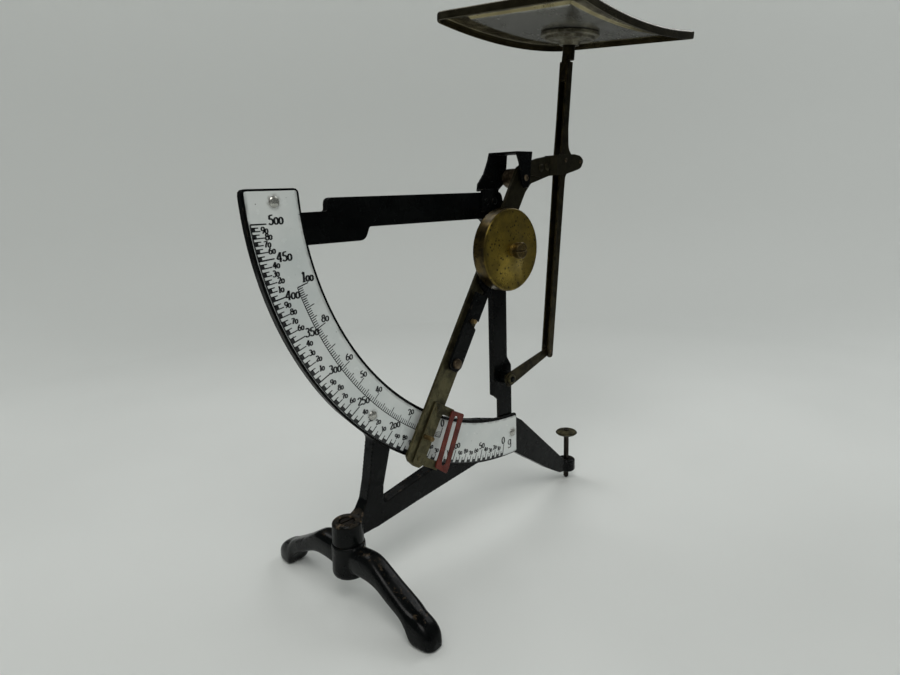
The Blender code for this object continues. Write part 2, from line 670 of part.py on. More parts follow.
def range_arm(mat):
    """Black arm with a stop notch on each edge, one for each range."""
    s1 = UPPER_STOP_S
    s2 = 2 * RANGE_PIVOT_S - LOWER_STOP_S
    deep = STOP_R + 0.15
    w = RANGE_HALF
    corners = [
        (98.9, -2.2, 1.5), (98.9, 2.2, 1.5), (96.0, w, 1.5), (s1 + 2.6, w, 0.8),
        (s1 + deep, -0.2, 1.2), (s1 + deep, -deep, 1.0), (s1 - deep, -deep, 1.0),
        (s1 - deep, w, 0.4), (35.0, w, 1.5), (32.4, 2.0, 1.5), (32.4, -2.0, 1.5),
        (35.0, -w, 1.5), (s2 - 2.6, -w, 0.8), (s2 - deep, 0.2, 1.2), (s2 - deep, deep, 1.0),
        (s2 + deep, deep, 1.0), (s2 + deep, -w, 0.4), (96.0, -w, 1.5)]
    outline = [bar(s, t) for s, t in rounded(corners, 3)]
    at = (*bar(RANGE_PIVOT_S, 0), 0)
    holes = [circle(*bar(RANGE_PIVOT_S, 0), 1.69, 16), circle(*bar(WEIGHT_S, 0), 1.95, 16)]
    prism("range_arm", outline, holes, RANGE_BACK, RANGE_FRONT, mat, at=(at[0], 0, at[1]))


def range_weight(mat):
    x, z = bar(WEIGHT_S, 0)
    sx, sz = bar(RANGE_PIVOT_S, 0)
    f, b = WEIGHT_FRONT, WEIGHT_BACK
    profile = [(1.95, b), (WEIGHT_R - 0.5, b), (WEIGHT_R, b - 0.5), (WEIGHT_R, f + 0.6),
               (WEIGHT_R - 0.6, f), (9.0, f), (7.6, f - 0.7), (1.95, f - 0.9)]
    lathe("range_weight", profile, "Y", (x, 0, z), 44, mat, at=(sx, 0, sz))
    return x, z


def range_screws(mat, brass):
    x, z = bar(WEIGHT_S, 0)
    f = WEIGHT_FRONT - 0.9
    collar = [(1.95, f - GAP), (3.1, f - GAP), (3.1, f - 1.6), (2.7, f - 2.0), (1.95, f - 2.0)]
    lathe("weight_collar", collar, "Y", (x, 0, z), 20, brass)
    slotted_screw("weight_screw", "Y", (x, 0, z), 3.7, f - 2.2, f - 5.4, 1.8, RANGE_BACK - 0.1,
                  mat, 0.9)
    px, pz = bar(RANGE_PIVOT_S, 0)
    front = RANGE_FRONT - GAP
    profile = [(0, front - 1.6), (1.5, front - 1.5), (2.3, front - 1.0), (2.5, front),
               (1.6, front), (1.6, LEVER_BACK + 0.7), (0, LEVER_BACK + 0.7)]
    lathe("range_pivot_screw", profile, "Y", (px, 0, pz), 16, mat)


def stop_pins(mat):
    for name, s, tip in (("upper", UPPER_STOP_S, -8.8), ("lower", LOWER_STOP_S, -9.8)):
        x, z = bar(s, 0)
        profile = [(0, tip), (STOP_R - 0.3, tip), (STOP_R, tip + 0.3), (STOP_R, LEVER_BACK - 0.1),
                   (0, LEVER_BACK - 0.1)]
        lathe(name + "_stop_pin", profile, "Y", (x, 0, z), 12, mat)


# ------------------------------------------------------- load rod, link, pan
def rod_point(along, across):
    """Point on the rod: along rises from the rod pivot, across runs towards +X."""
    px, pz = rod_pivot()
    lean = math.atan2(-LINK_PIVOT[0], -LINK_PIVOT[1])
    return (px + along * math.sin(lean) + across * math.cos(lean),
            pz + along * math.cos(lean) - across * math.sin(lean))


def load_rod(mat):
    """Folded channel, open towards the dial, widened where it enters the fork."""
    px, pz = rod_pivot()
    foot = math.hypot(*LINK_PIVOT)
    edge = [(47.5, -2.3, 0.8), (47.5, 2.3, 0.0), (16.0, 2.3, 8.0), (6.0, 3.6, 6.0),
            (2.4, 8.0, 1.5), (-1.6, 8.0, 2.5), (-7.5, 2.4, 4.0), (-14.0, 2.2, 0.0),
            (-foot + 6.0, 1.95, 0.0), (-foot - 3.0, 1.95, 1.5), (-foot - 3.0, -1.95, 1.5),
            (-foot + 6.0, -1.95, 0.0), (-14.0, -2.2, 0.0), (3.0, -2.6, 4.0), (16.0, -2.3, 0.0)]
    outline = [rod_point(a, c) for a, c in rounded(edge, 3)]
    half = ROD_DEPTH / 2
    at = (px, 0, pz)
    obj = prism("load_rod", outline, [], ROD_MID - half, ROD_MID + half, mat, at=at)
    inner = [(60.0, -7.0), (60.0, 1.5), (14.0, 1.5), (8.0, 2.0), (6.0, 14.0), (-5.0, 14.0),
             (-8.0, 1.6), (-14.0, 1.4), (-foot + 6.0, 1.15), (-foot - 9.0, 1.15),
             (-foot - 9.0, -7.0)]
    cavity = [rod_point(a, c) for a, c in inner]
    gap = half - ROD_T
    combine(obj, prism("cavity", cavity, [], ROD_MID - gap, ROD_MID + gap, None, at=at),
            "DIFFERENCE")
    drill(obj, px, pz, PIN_R + 0.1, -9, 3, 12)
    drill(obj, *foot_pivot(), PIN_R + 0.1, -9, 3, 12)
    window = [rod_point(a, c) for a, c in ((-foot - 2.3, 0.5), (-foot - 2.3, 4),
                                           (-foot + 2.7, 4), (-foot + 2.7, 0.5))]
    combine(obj, prism("window", window, [], ROD_MID - 0.9, ROD_MID + 0.9, None, at=at),
            "DIFFERENCE")


def rod_pins(mat):
    spans = {"load_pin": (rod_pivot(), FORK_HALF + FORK_T + 0.3),
             "rod_foot_pin": (foot_pivot(), ROD_DEPTH / 2 + 0.5)}
    for name, ((x, z), half) in spans.items():
        low = ROD_MID - half
        high = ROD_MID + half
        profile = [(0, low), (PIN_R * 0.8, low + 0.1), (PIN_R, low + 0.3), (PIN_R, high - 0.3),
                   (PIN_R * 0.8, high - 0.1), (0, high)]
        lathe(name, profile, "Y", (x, 0, z), 12, mat)


def lean(obj, yaw=0.0):
    """Tips a piece forwards with the bent stem, after turning it about the stem."""
    pivot = (Vector((PAN_X, ROD_MID, SPIGOT_FOOT)) + SHIFT) * MM - obj.location
    turn = Matrix.Rotation(math.radians(PAN_LEAN), 4, "X")
    turn = turn @ Matrix.Rotation(math.radians(yaw), 4, "Z")
    obj.data.transform(Matrix.Translation(pivot) @ turn @ Matrix.Translation(-pivot))


def pan_spigot(mat):
    """Round stem with a flat tongue inside the rod."""
    foot = SPIGOT_FOOT
    profile = [(0, foot + 0.2), (SPIGOT_R, foot + 0.2), (SPIGOT_R, PAN_Z - 3.4),
               (2.0, PAN_Z - 3.4), (2.0, PAN_Z - 0.1), (0, PAN_Z - 0.1)]
    obj = lathe("pan_spigot", profile, "Z", (PAN_X, ROD_MID, 0), 20, mat)
    lean(obj)
    gap = ROD_DEPTH / 2 - ROD_T - 0.15
    tongue = [rod_point(a, c) for a, c in ((38.0, -2.2), (38.0, 1.35), (50.0, 1.35), (50.0, -2.2))]
    combine(obj, prism("tongue", tongue, [], ROD_MID - gap, ROD_MID + gap, mat), "UNION")


def pan_flange(mat):
    inner = SPIGOT_R + 0.12
    top = PAN_Z - GAP
    profile = [(2.15, top), (14.1, top), (14.3, top - 0.4), (14.3, top - 1.6), (12.2, top - 1.8),
               (11.9, top - 3.2), (5.6, top - 3.6), (4.8, top - 5.6), (inner, top - 5.6),
               (inner, top - 3.0), (2.15, top - 3.0)]
    lean(lathe("pan_flange", profile, "Z", (PAN_X, ROD_MID, 0), 32, mat))


def pan_tray(mat):
    """Letter plate pressed from sheet, with a panel and a turned-down edge."""
    us = [-1.0, -0.93, -0.84, -0.81, -0.6, -0.4, -0.2, -0.09, 0.0]
    us = us + [-u for u in reversed(us[:-1])]
    vs = [-1.0, -0.93, -0.79, -0.75, -0.4, -0.12, 0.0]
    vs = vs + [-v for v in reversed(vs[:-1])]
    verts = []

    def grid(inset, drop):
        start = len(verts)
        for u in us:
            for v in vs:
                cut = PAN_CORNER if abs(u) == 1 and abs(v) == 1 else 0.0
                x = PAN_X + u * (PAN_HALF_X - inset - cut)
                y = ROD_MID + v * (PAN_HALF_Y - inset - cut)
                verts.append((x, y, PAN_Z + PAN_T + panel(u, v) - drop))
        return start

    def panel(u, v):
        lift = PAN_SAG * u * u
        if abs(u) <= 0.82 and abs(v) <= 0.76:
            return lift
        return lift + 0.8

    top = grid(0.0, 0.0)
    low = grid(PAN_T, PAN_T)
    cols = len(vs)
    rows = len(us)

    def number(start, i, j):
        return start + i * cols + j

    faces = []
    for i in range(rows - 1):
        for j in range(cols - 1):
            for start in (top, low):
                faces.append((number(start, i, j), number(start, i + 1, j),
                              number(start, i + 1, j + 1), number(start, i, j + 1)))
    border = [(i, 0) for i in range(rows)] + [(rows - 1, j) for j in range(1, cols)]
    border += [(i, cols - 1) for i in range(rows - 2, -1, -1)]
    border += [(0, j) for j in range(cols - 2, 0, -1)]
    outer_low = len(verts)
    for i, j in border:
        x, y, z = verts[number(top, i, j)]
        verts.append((x, y, z - PAN_RIM))
    inner_low = len(verts)
    for i, j in border:
        x, y, z = verts[number(low, i, j)]
        verts.append((x, y, z + PAN_T - PAN_RIM))
    size = len(border)
    for k in range(size):
        n = (k + 1) % size
        a = number(top, *border[k])
        b = number(top, *border[n])
        c = number(low, *border[k])
        d = number(low, *border[n])
        faces.append((a, b, outer_low + n, outer_low + k))
        faces.append((outer_low + k, outer_low + n, inner_low + n, inner_low + k))
        faces.append((inner_low + k, inner_low + n, d, c))
    obj = solid("pan_tray", verts, faces, mat, at=(PAN_X, ROD_MID, PAN_Z), sharp=20)
    hole = [(0, -3), (2.3, -3), (2.3, 4), (0, 4)]
    combine(obj, lathe("hole", hole, "Z", (PAN_X, ROD_MID, PAN_Z), 16, None), "DIFFERENCE")
    lean(obj, PAN_YAW)
    rivet = [(0, 0.05), (1.9, 0.05), (1.9, PAN_T + 0.15), (4.2, PAN_T + 0.15),
             (3.9, PAN_T + 0.9), (2.4, PAN_T + 1.5), (0, PAN_T + 1.7)]
    lean(lathe("pan_rivet", rivet, "Z", (PAN_X, ROD_MID, PAN_Z), 20, mat))


def stay_link(mat):
    """Flat tapered link that keeps the rod parallel to the post."""
    ox, oz = LINK_PIVOT
    fx, fz = foot_pivot()
    along = Vector((fx - ox, fz - oz)).normalized()
    across = Vector((-along.y, along.x))

    def put(a, c):
        p = Vector((ox, oz)) + along * a + across * c
        return (p.x, p.y)

    length = math.hypot(fx - ox, fz - oz)
    corners = [(-3.8, -3.6), (-3.8, 3.6), (length, 2.0), (length + 1.9, 1.2),
               (length + 1.9, -1.2), (length, -2.0)]
    radii = [3.0, 3.0, 0.0, 1.0, 1.0, 0.0]
    outline = rounded([(*put(a, c), r) for (a, c), r in zip(corners, radii)], 4)
    holes = [circle(ox, oz, 1.59, 16), circle(fx, fz, PIN_R + 0.15, 12)]
    prism("stay_link", outline, holes, ROD_MID - 0.6, ROD_MID + 0.6, mat, at=(ox, 0, oz))


def link_stud(dark, brass):
    """Stud standing off the post, with a retaining collar in front of the link."""
    x, z = LINK_PIVOT
    back = FRAME_FRONT - GAP
    profile = [(0, ROD_MID - 2.2), (1.1, ROD_MID - 2.1), (1.5, ROD_MID - 1.8),
               (1.5, ROD_MID + 0.8), (2.9, ROD_MID + 0.8), (2.9, back), (1.55, back),
               (1.55, FRAME_FRONT + FRAME_T + 1.0), (0, FRAME_FRONT + FRAME_T + 1.1)]
    lathe("link_stud", profile, "Y", (x, 0, z), 16, dark)
    ring = [(1.6, ROD_MID - 0.8), (2.7, ROD_MID - 0.8), (2.5, ROD_MID - 1.5), (1.6, ROD_MID - 1.6)]
    lathe("link_collar", ring, "Y", (x, 0, z), 16, brass)


# ---------------------------------------------------------------------- main
def main():
    clear_scene()
    black = material("black_enamel", (0.012, 0.013, 0.014), 0.32, 0.0)
    enamel = material("white_enamel", (0.72, 0.74, 0.74), 0.25, 0.0)
    bronze = material("aged_nickel_brass", (0.22, 0.19, 0.11), 0.42, 1.0)
    brass = material("brass", (0.45, 0.33, 0.11), 0.38, 1.0)
    steel = material("screw_steel", (0.32, 0.28, 0.23), 0.40, 1.0)
    rivet = material("rivet_white", (0.60, 0.61, 0.58), 0.35, 0.2)
    red = material("red_paint", (0.26, 0.045, 0.03), 0.50, 0.0)
    nickel = material("pan_nickel", (0.42, 0.41, 0.37), 0.34, 1.0)

    base_casting(black)
    cross_foot(black)
    slotted_screw("foot_clamp_screw", "Z", (HUB_X, CAST_MID, 0), 3.2, HUB_TOP - 2.4,
                  HUB_TOP - 0.5, 1.6, HUB_BOTTOM - 8.0, steel, 0.8)
    levelling(steel, brass)
    frame_post_arm(black)
    dial_tray(black)
    dial_plate(enamel)
    tails = {"top": FRAME_FRONT + FRAME_T, "middle": CAST_BACK, "bottom": CAST_BACK}
    for name, (x, z) in RIVET_SPOTS.items():
        headed_rivet("dial_rivet_" + name, x, z, 1.25, 2.1, 0.9, -0.1, tails[name] - 0.2, rivet)
    bearing_yoke(black)
    for name, (x, z) in zip(("left", "right"), YOKE_RIVETS):
        headed_rivet("yoke_rivet_" + name, x, z, 1.1, 1.8, 0.7, 0.6, 3.6, black, 12)
    axle_and_hub(steel, brass, steel)

    pointer_lever(bronze)
    fork_cheek("fork_cheek_front", -1, 4.4, bronze)
    fork_cheek("fork_cheek_back", 1, 6.2, bronze)
    fork_tip_pin(steel)
    for name, (x, z) in zip(("inner", "outer"), FORK_RIVETS):
        headed_rivet("fork_rivet_" + name, x, z, 1.2, 1.9, 0.7, LEVER_FRONT - FORK_T - 2 * GAP,
                     LEVER_BACK + FORK_T + GAP, bronze, 12)
    index_bracket(bronze)
    index_frame(red)
    for name, (s, t) in INDEX_RIVETS.items():
        headed_rivet("index_rivet_" + name, *bar(s, t), 0.8, 1.4, 0.25, INDEX_FRONT - 0.1,
                     LEVER_BACK, bronze, 12)
    stop_pins(brass)
    range_arm(black)
    range_weight(brass)
    range_screws(steel, brass)

    load_rod(bronze)
    rod_pins(steel)
    pan_spigot(bronze)
    pan_flange(brass)
    pan_tray(nickel)
    stay_link(bronze)
    link_stud(black, brass)


main()
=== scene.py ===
"""Looks of a two-range pendulum letter balance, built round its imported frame.

Lengths are in metres in the frame's own axes: X runs along the frame arm, Y
runs back from the dial and Z is up.  The dial print, the load plate and the
cross foot are drawn in millimetres and scaled by MM.
"""
import json
import math

import bmesh
import bpy
from mathutils import Matrix, Vector


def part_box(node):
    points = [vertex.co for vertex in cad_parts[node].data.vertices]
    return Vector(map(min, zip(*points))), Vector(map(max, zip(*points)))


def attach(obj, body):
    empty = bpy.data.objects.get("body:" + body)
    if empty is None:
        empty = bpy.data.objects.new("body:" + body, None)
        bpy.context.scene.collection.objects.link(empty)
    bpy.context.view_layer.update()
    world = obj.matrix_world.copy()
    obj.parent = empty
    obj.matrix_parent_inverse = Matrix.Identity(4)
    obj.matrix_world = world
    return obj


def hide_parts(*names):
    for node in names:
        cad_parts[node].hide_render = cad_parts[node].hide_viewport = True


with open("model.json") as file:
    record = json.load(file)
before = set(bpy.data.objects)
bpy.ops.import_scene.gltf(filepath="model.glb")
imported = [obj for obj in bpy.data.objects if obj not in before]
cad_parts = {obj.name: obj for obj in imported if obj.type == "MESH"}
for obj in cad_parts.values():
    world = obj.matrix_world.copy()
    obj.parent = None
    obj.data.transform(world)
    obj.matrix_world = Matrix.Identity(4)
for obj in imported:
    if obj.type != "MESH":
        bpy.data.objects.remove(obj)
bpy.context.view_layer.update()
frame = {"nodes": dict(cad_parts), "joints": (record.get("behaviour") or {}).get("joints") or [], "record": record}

MM = 0.001
NODES = frame["nodes"]
JOINTS = {joint["name"]: joint for joint in frame["joints"]}
PIVOT = Vector(JOINTS["lever_swing"]["pos_m"])
PLATE_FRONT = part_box("dial_plate")[0].y


def middle(node):
    low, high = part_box(node)
    return (low + high) / 2


# ------------------------------------------------------------ node material kit
class Finish:
    """One material and a few short calls that add nodes to it."""

    def __init__(self, name):
        self.mat = bpy.data.materials.new(name)
        self.mat.use_nodes = True
        self.nodes = self.mat.node_tree.nodes
        self.links = self.mat.node_tree.links
        self.shader = self.nodes["Principled BSDF"]
        self.place = self.nodes.new("ShaderNodeTexCoord").outputs["Object"]

    def feed(self, socket, value):
        if isinstance(value, bpy.types.NodeSocket):
            self.links.new(value, socket)
        elif isinstance(value, (tuple, list)) and len(value) == 3 and socket.type == "RGBA":
            socket.default_value = (*value, 1.0)
        else:
            socket.default_value = value

    def noise(self, scale, detail=3.0, rough=0.5, vector=None, distortion=0.0):
        node = self.nodes.new("ShaderNodeTexNoise")
        self.feed(node.inputs["Vector"], vector or self.place)
        node.inputs["Scale"].default_value = scale
        node.inputs["Detail"].default_value = detail
        node.inputs["Roughness"].default_value = rough
        node.inputs["Distortion"].default_value = distortion
        return node.outputs["Fac"]

    def cells(self, scale, vector=None):
        """Distance to the nearest of many scattered points."""
        node = self.nodes.new("ShaderNodeTexVoronoi")
        self.feed(node.inputs["Vector"], vector or self.place)
        node.inputs["Scale"].default_value = scale
        return node.outputs["Distance"]

    def math(self, operation, one, two=0.0, clamp=False):
        node = self.nodes.new("ShaderNodeMath")
        node.operation = operation
        node.use_clamp = clamp
        self.feed(node.inputs[0], one)
        self.feed(node.inputs[1], two)
        return node.outputs[0]

    def span(self, value, start, end, low=0.0, high=1.0):
        """low below start, high above end, smooth between."""
        node = self.nodes.new("ShaderNodeMapRange")
        node.interpolation_type = "SMOOTHSTEP"
        self.feed(node.inputs["Value"], value)
        for name, number in (("From Min", start), ("From Max", end), ("To Min", low),
                             ("To Max", high)):
            node.inputs[name].default_value = number
        return node.outputs["Result"]

    def mix(self, amount, one, two):
        node = self.nodes.new("ShaderNodeMix")
        node.data_type = "RGBA"
        self.feed(node.inputs[0], amount)
        self.feed(node.inputs[6], one)
        self.feed(node.inputs[7], two)
        return node.outputs[2]

    def stretched(self, scale, turn=(0.0, 0.0, 0.0)):
        node = self.nodes.new("ShaderNodeMapping")
        self.feed(node.inputs["Vector"], self.place)
        node.inputs["Rotation"].default_value = turn
        node.inputs["Scale"].default_value = scale
        return node.outputs["Vector"]

    def radius(self, centre, axis="Y"):
        """Distance from a line through centre along an axis."""
        away = self.nodes.new("ShaderNodeVectorMath")
        away.operation = "SUBTRACT"
        self.feed(away.inputs[0], self.place)
        away.inputs[1].default_value = centre
        flat = self.nodes.new("ShaderNodeVectorMath")
        flat.operation = "MULTIPLY"
        self.feed(flat.inputs[0], away.outputs[0])
        flat.inputs[1].default_value = (1, 0, 1) if axis == "Y" else (1, 1, 0)
        length = self.nodes.new("ShaderNodeVectorMath")
        length.operation = "LENGTH"
        self.feed(length.inputs[0], flat.outputs[0])
        return length.outputs["Value"]

    def offset(self, centre, index):
        """Signed distance from centre along one axis."""
        split = self.nodes.new("ShaderNodeSeparateXYZ")
        self.feed(split.inputs[0], self.place)
        return self.math("SUBTRACT", split.outputs[index], centre[index])

    def turn_about(self, centre, axis="Z"):
        """Angle round a line through centre along an axis, in radians."""
        across = self.offset(centre, 1 if axis == "Z" else 2)
        return self.math("ARCTAN2", across, self.offset(centre, 0))

    def edges(self, size):
        """1 on outer edges, 0 on flats."""
        bevel = self.nodes.new("ShaderNodeBevel")
        bevel.samples = 6
        bevel.inputs["Radius"].default_value = size
        here = self.nodes.new("ShaderNodeNewGeometry")
        dot = self.nodes.new("ShaderNodeVectorMath")
        dot.operation = "DOT_PRODUCT"
        self.feed(dot.inputs[0], bevel.outputs[0])
        self.feed(dot.inputs[1], here.outputs["Normal"])
        return self.span(self.math("SUBTRACT", 1.0, dot.outputs["Value"]), 0.015, 0.16)

    def upward(self):
        """1 where the surface looks straight up, 0 where it slopes away."""
        split = self.nodes.new("ShaderNodeSeparateXYZ")
        self.feed(split.inputs[0], self.nodes.new("ShaderNodeNewGeometry").outputs["Normal"])
        return self.span(split.outputs[2], 0.74, 0.90)

    def bump(self, height, distance, below=None):
        node = self.nodes.new("ShaderNodeBump")
        node.inputs["Distance"].default_value = distance
        node.inputs["Strength"].default_value = 1.0
        self.feed(node.inputs["Height"], height)
        if below:
            self.feed(node.inputs["Normal"], below)
        return node.outputs["Normal"]

    def surface(self, colour, roughness, metallic=0.0, normal=None, coat=0.0, coat_roughness=0.1,
                specular=0.5):
        self.feed(self.shader.inputs["Base Color"], colour)
        self.feed(self.shader.inputs["Roughness"], roughness)
        self.feed(self.shader.inputs["Metallic"], metallic)
        self.shader.inputs["Coat Weight"].default_value = coat
        self.shader.inputs["Coat Roughness"].default_value = coat_roughness
        self.shader.inputs["Specular IOR Level"].default_value = specular
        if normal:
            self.feed(self.shader.inputs["Normal"], normal)
        return self.mat


# -------------------------------------------------------------------- finishes
def cast_enamel():
    """Thick black enamel over a sand casting, chipped to brown iron on its edges."""
    f = Finish("cast_black")
    lumps = f.noise(170, 3, 0.55)
    peel = f.noise(1100, 2)
    dust = f.span(f.noise(3300, 2), 0.66, 0.74)
    chip = f.math("MULTIPLY", f.edges(0.9 * MM), f.span(f.noise(420, 4, 0.6), 0.52, 0.62))
    base = f.mix(f.span(f.noise(70, 3), 0.35, 0.65), (0.0016, 0.0021, 0.0022),
                 (0.0036, 0.0043, 0.0043))
    base = f.mix(f.math("MULTIPLY", dust, 0.12), base, (0.11, 0.105, 0.09))
    base = f.mix(chip, base, (0.055, 0.036, 0.022))
    crest = f.math("MULTIPLY", f.upward(), f.span(f.noise(480, 4, 0.65), 0.57, 0.64))
    base = f.mix(f.math("MULTIPLY", crest, 0.8), base, (0.050, 0.036, 0.022))
    hub = middle("foot_clamp_screw")
    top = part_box("foot_clamp_screw")[1].z
    high = f.span(f.offset((0, 0, top), 2), -0.7 * MM, 0.1 * MM)
    near = f.math("MULTIPLY", high, f.span(f.radius(hub, "Z"), 7.0 * MM, 7.6 * MM, 1.0, 0.0))
    rubbed = f.math("MULTIPLY", near, f.span(f.noise(260, 4), 0.34, 0.56))
    base = f.mix(f.math("MULTIPLY", rubbed, 0.8), base, (0.026, 0.021, 0.015))
    flake = f.math("MULTIPLY", near, f.span(f.noise(330, 4, 0.6), 0.56, 0.62))
    base = f.mix(flake, base, (0.10, 0.072, 0.046))
    chip = f.math("MAXIMUM", chip, rubbed)
    rough = f.span(f.noise(140, 3), 0.3, 0.7, 0.18, 0.34)
    rough = f.math("ADD", rough, f.math("MULTIPLY", chip, 0.3), True)
    normal = f.bump(peel, 0.02 * MM, f.bump(lumps, 0.22 * MM))
    return f.surface(base, rough, 0.0, normal, 0.05, 0.08, 0.10)


def sheet_enamel():
    """Smoother black enamel on pressed sheet, with fine scratches."""
    f = Finish("sheet_black")
    waves = f.noise(90, 2)
    peel = f.noise(900, 2)
    hair = f.noise(900, 2, 0.6, f.stretched((0.06, 1.0, 1.0), (0.0, 0.5, 0.0)))
    scratch = f.span(hair, 0.68, 0.72)
    worn = f.math("MULTIPLY", f.edges(0.45 * MM), f.span(f.noise(520, 4, 0.6), 0.53, 0.62))
    dust = f.span(f.noise(3600, 2), 0.69, 0.75)
    base = f.mix(f.span(f.noise(60, 3), 0.35, 0.65), (0.0012, 0.0016, 0.0017),
                 (0.0028, 0.0034, 0.0034))
    base = f.mix(f.math("MULTIPLY", dust, 0.10), base, (0.10, 0.10, 0.09))
    base = f.mix(f.math("MULTIPLY", scratch, 0.08), base, (0.05, 0.048, 0.042))
    base = f.mix(worn, base, (0.06, 0.045, 0.028))
    rough = f.span(f.noise(200, 3), 0.3, 0.7, 0.20, 0.36)
    rough = f.math("ADD", rough, f.math("MULTIPLY", worn, 0.3), True)
    normal = f.bump(peel, 0.012 * MM, f.bump(waves, 0.15 * MM))
    return f.surface(base, rough, 0.0, normal, 0.03, 0.06, 0.07)


def dial_enamel():
    """White vitreous enamel: cool, slightly mottled, grey at its edges, pin-holed."""
    f = Finish("dial_enamel")
    reach = f.radius(PIVOT)
    inner = f.span(reach, 120.7 * MM, 121.9 * MM, 1.0, 0.0)
    outer = f.span(reach, 139.3 * MM, 140.4 * MM)
    edge = f.math("ADD", inner, outer, True)
    edge = f.math("MULTIPLY", edge, f.span(f.noise(260, 3), 0.2, 0.75))
    cloud = f.noise(45, 4, 0.6)
    base = f.mix(f.span(cloud, 0.3, 0.7), (0.60, 0.635, 0.63), (0.68, 0.70, 0.69))
    stain = f.math("MULTIPLY", f.span(f.noise(150, 5, 0.65), 0.60, 0.78), 0.35)
    base = f.mix(stain, base, (0.42, 0.43, 0.40))
    for name in ("top", "middle", "bottom"):
        ring = f.span(f.radius(middle("dial_rivet_" + name)), 2.0 * MM, 3.4 * MM, 0.55, 0.0)
        base = f.mix(f.math("MULTIPLY", ring, f.span(f.noise(700, 3), 0.3, 0.7)), base,
                     (0.20, 0.19, 0.165))
    base = f.mix(f.math("MULTIPLY", edge, 0.75), base, (0.16, 0.165, 0.16))
    holes = f.math("MULTIPLY", f.span(f.cells(330), 0.05, 0.09, 1.0, 0.0),
                   f.span(f.noise(120, 2), 0.50, 0.60))
    base = f.mix(f.math("MULTIPLY", holes, 0.8), base, (0.05, 0.05, 0.05))
    rough = f.span(f.noise(300, 4), 0.3, 0.75, 0.12, 0.30)
    normal = f.bump(f.noise(380, 2), 0.03 * MM, f.bump(f.noise(60, 2), 0.22 * MM))
    return f.surface(base, rough, 0.0, normal, 0.45, 0.06, 0.5)


def print_ink():
    """Fired black marking, a little broken and uneven."""
    f = Finish("dial_print_black")
    base = f.mix(f.span(f.noise(1500, 3), 0.35, 0.7), (0.004, 0.005, 0.006), (0.016, 0.018, 0.020))
    rough = f.span(f.noise(900, 2), 0.3, 0.7, 0.22, 0.4)
    return f.surface(base, rough, 0.0, f.bump(f.noise(2000, 2), 0.01 * MM), 0.2, 0.1)


def tarnished(name, light, mid, dark, warm, metallic=0.8, streak=(1.0, 1.0, 0.12), turn=0.0,
              rough=(0.34, 0.58), painted_shade_above=None):
    """Old nickel-brass: cloudy tarnish, dark spots, bright worn edges, brushed streaks."""
    f = Finish(name)
    cloud = f.noise(230, 5, 0.62)
    base = f.mix(f.span(cloud, 0.34, 0.62), mid, light)
    blot = f.span(f.noise(95, 4, 0.6, None, 0.6), 0.50, 0.64)
    base = f.mix(f.math("MULTIPLY", blot, 0.7), base, dark)
    spots = f.span(f.cells(900), 0.10, 0.24, 1.0, 0.0)
    spots = f.math("MULTIPLY", spots, f.span(f.noise(300, 3), 0.48, 0.6))
    base = f.mix(f.math("MULTIPLY", spots, 0.75), base, dark)
    rub = f.math("MULTIPLY", f.edges(0.5 * MM), f.span(f.noise(350, 3), 0.36, 0.6))
    base = f.mix(f.math("MULTIPLY", rub, 0.8), base, warm)
    lines = f.noise(2600, 2, 0.6, f.stretched(streak, (0.0, turn, 0.0)))
    base = f.mix(f.math("MULTIPLY", f.span(lines, 0.5, 0.75), 0.3), base, dark)
    # Painted shade: the colour grows darker towards the top between the two heights given and stays dark above
    # them.
    if painted_shade_above:
        base = f.mix(f.span(f.offset((0, 0, 0), 2), painted_shade_above[0], painted_shade_above[1], 0.0, 0.8), base, dark)
    gloss = f.span(cloud, 0.3, 0.7, rough[1], rough[0])
    normal = f.bump(lines, 0.012 * MM, f.bump(f.noise(800, 3), 0.03 * MM))
    return f.surface(base, gloss, metallic, normal, 0.0, 0.1, 0.5)


def turned_brass(name, centre, light, mid, dark, reach):
    """Lathe-turned brass gone olive: fine rings, dark pits, a browner rim."""
    f = Finish(name)
    out = f.radius(centre)
    wobble = f.math("ADD", out, f.math("MULTIPLY", f.noise(60, 2), 0.0004))
    rings = f.math("SINE", f.math("MULTIPLY", wobble, 15000.0))
    rings = f.span(rings, -1.0, 1.0)
    cloud = f.noise(120, 6, 0.68)
    base = f.mix(f.span(cloud, 0.36, 0.62), mid, light)
    base = f.mix(f.math("MULTIPLY", rings, 0.22), base, dark)
    edge = f.math("MULTIPLY", f.span(out, reach * 0.80, reach), f.span(f.noise(160, 4), 0.3, 0.6))
    base = f.mix(f.math("MULTIPLY", edge, 0.75), base, dark)
    # Darker and browner on the rim.
    rim = f.span(out, reach - 0.45 * MM, reach - 0.1 * MM)
    browning = f.mix(f.span(f.noise(300, 4), 0.4, 0.6), (0.030, 0.021, 0.009), (0.085, 0.058, 0.018))
    base = f.mix(f.math("MULTIPLY", rim, 0.9), base, browning)
    pits = f.span(f.cells(520), 0.14, 0.36, 1.0, 0.0)
    pits = f.math("MULTIPLY", pits, f.span(f.noise(230, 3), 0.42, 0.54))
    base = f.mix(f.math("MULTIPLY", pits, 0.95), base, (0.018, 0.014, 0.005))
    fine = f.span(f.noise(2400, 3, 0.7), 0.58, 0.72)
    base = f.mix(f.math("MULTIPLY", fine, 0.5), base, dark)
    gloss = f.span(cloud, 0.3, 0.7, 0.46, 0.24)
    normal = f.bump(rings, 0.010 * MM, f.bump(f.noise(900, 3), 0.03 * MM))
    return f.surface(base, gloss, 0.85, normal, 0.0, 0.1, 0.5)


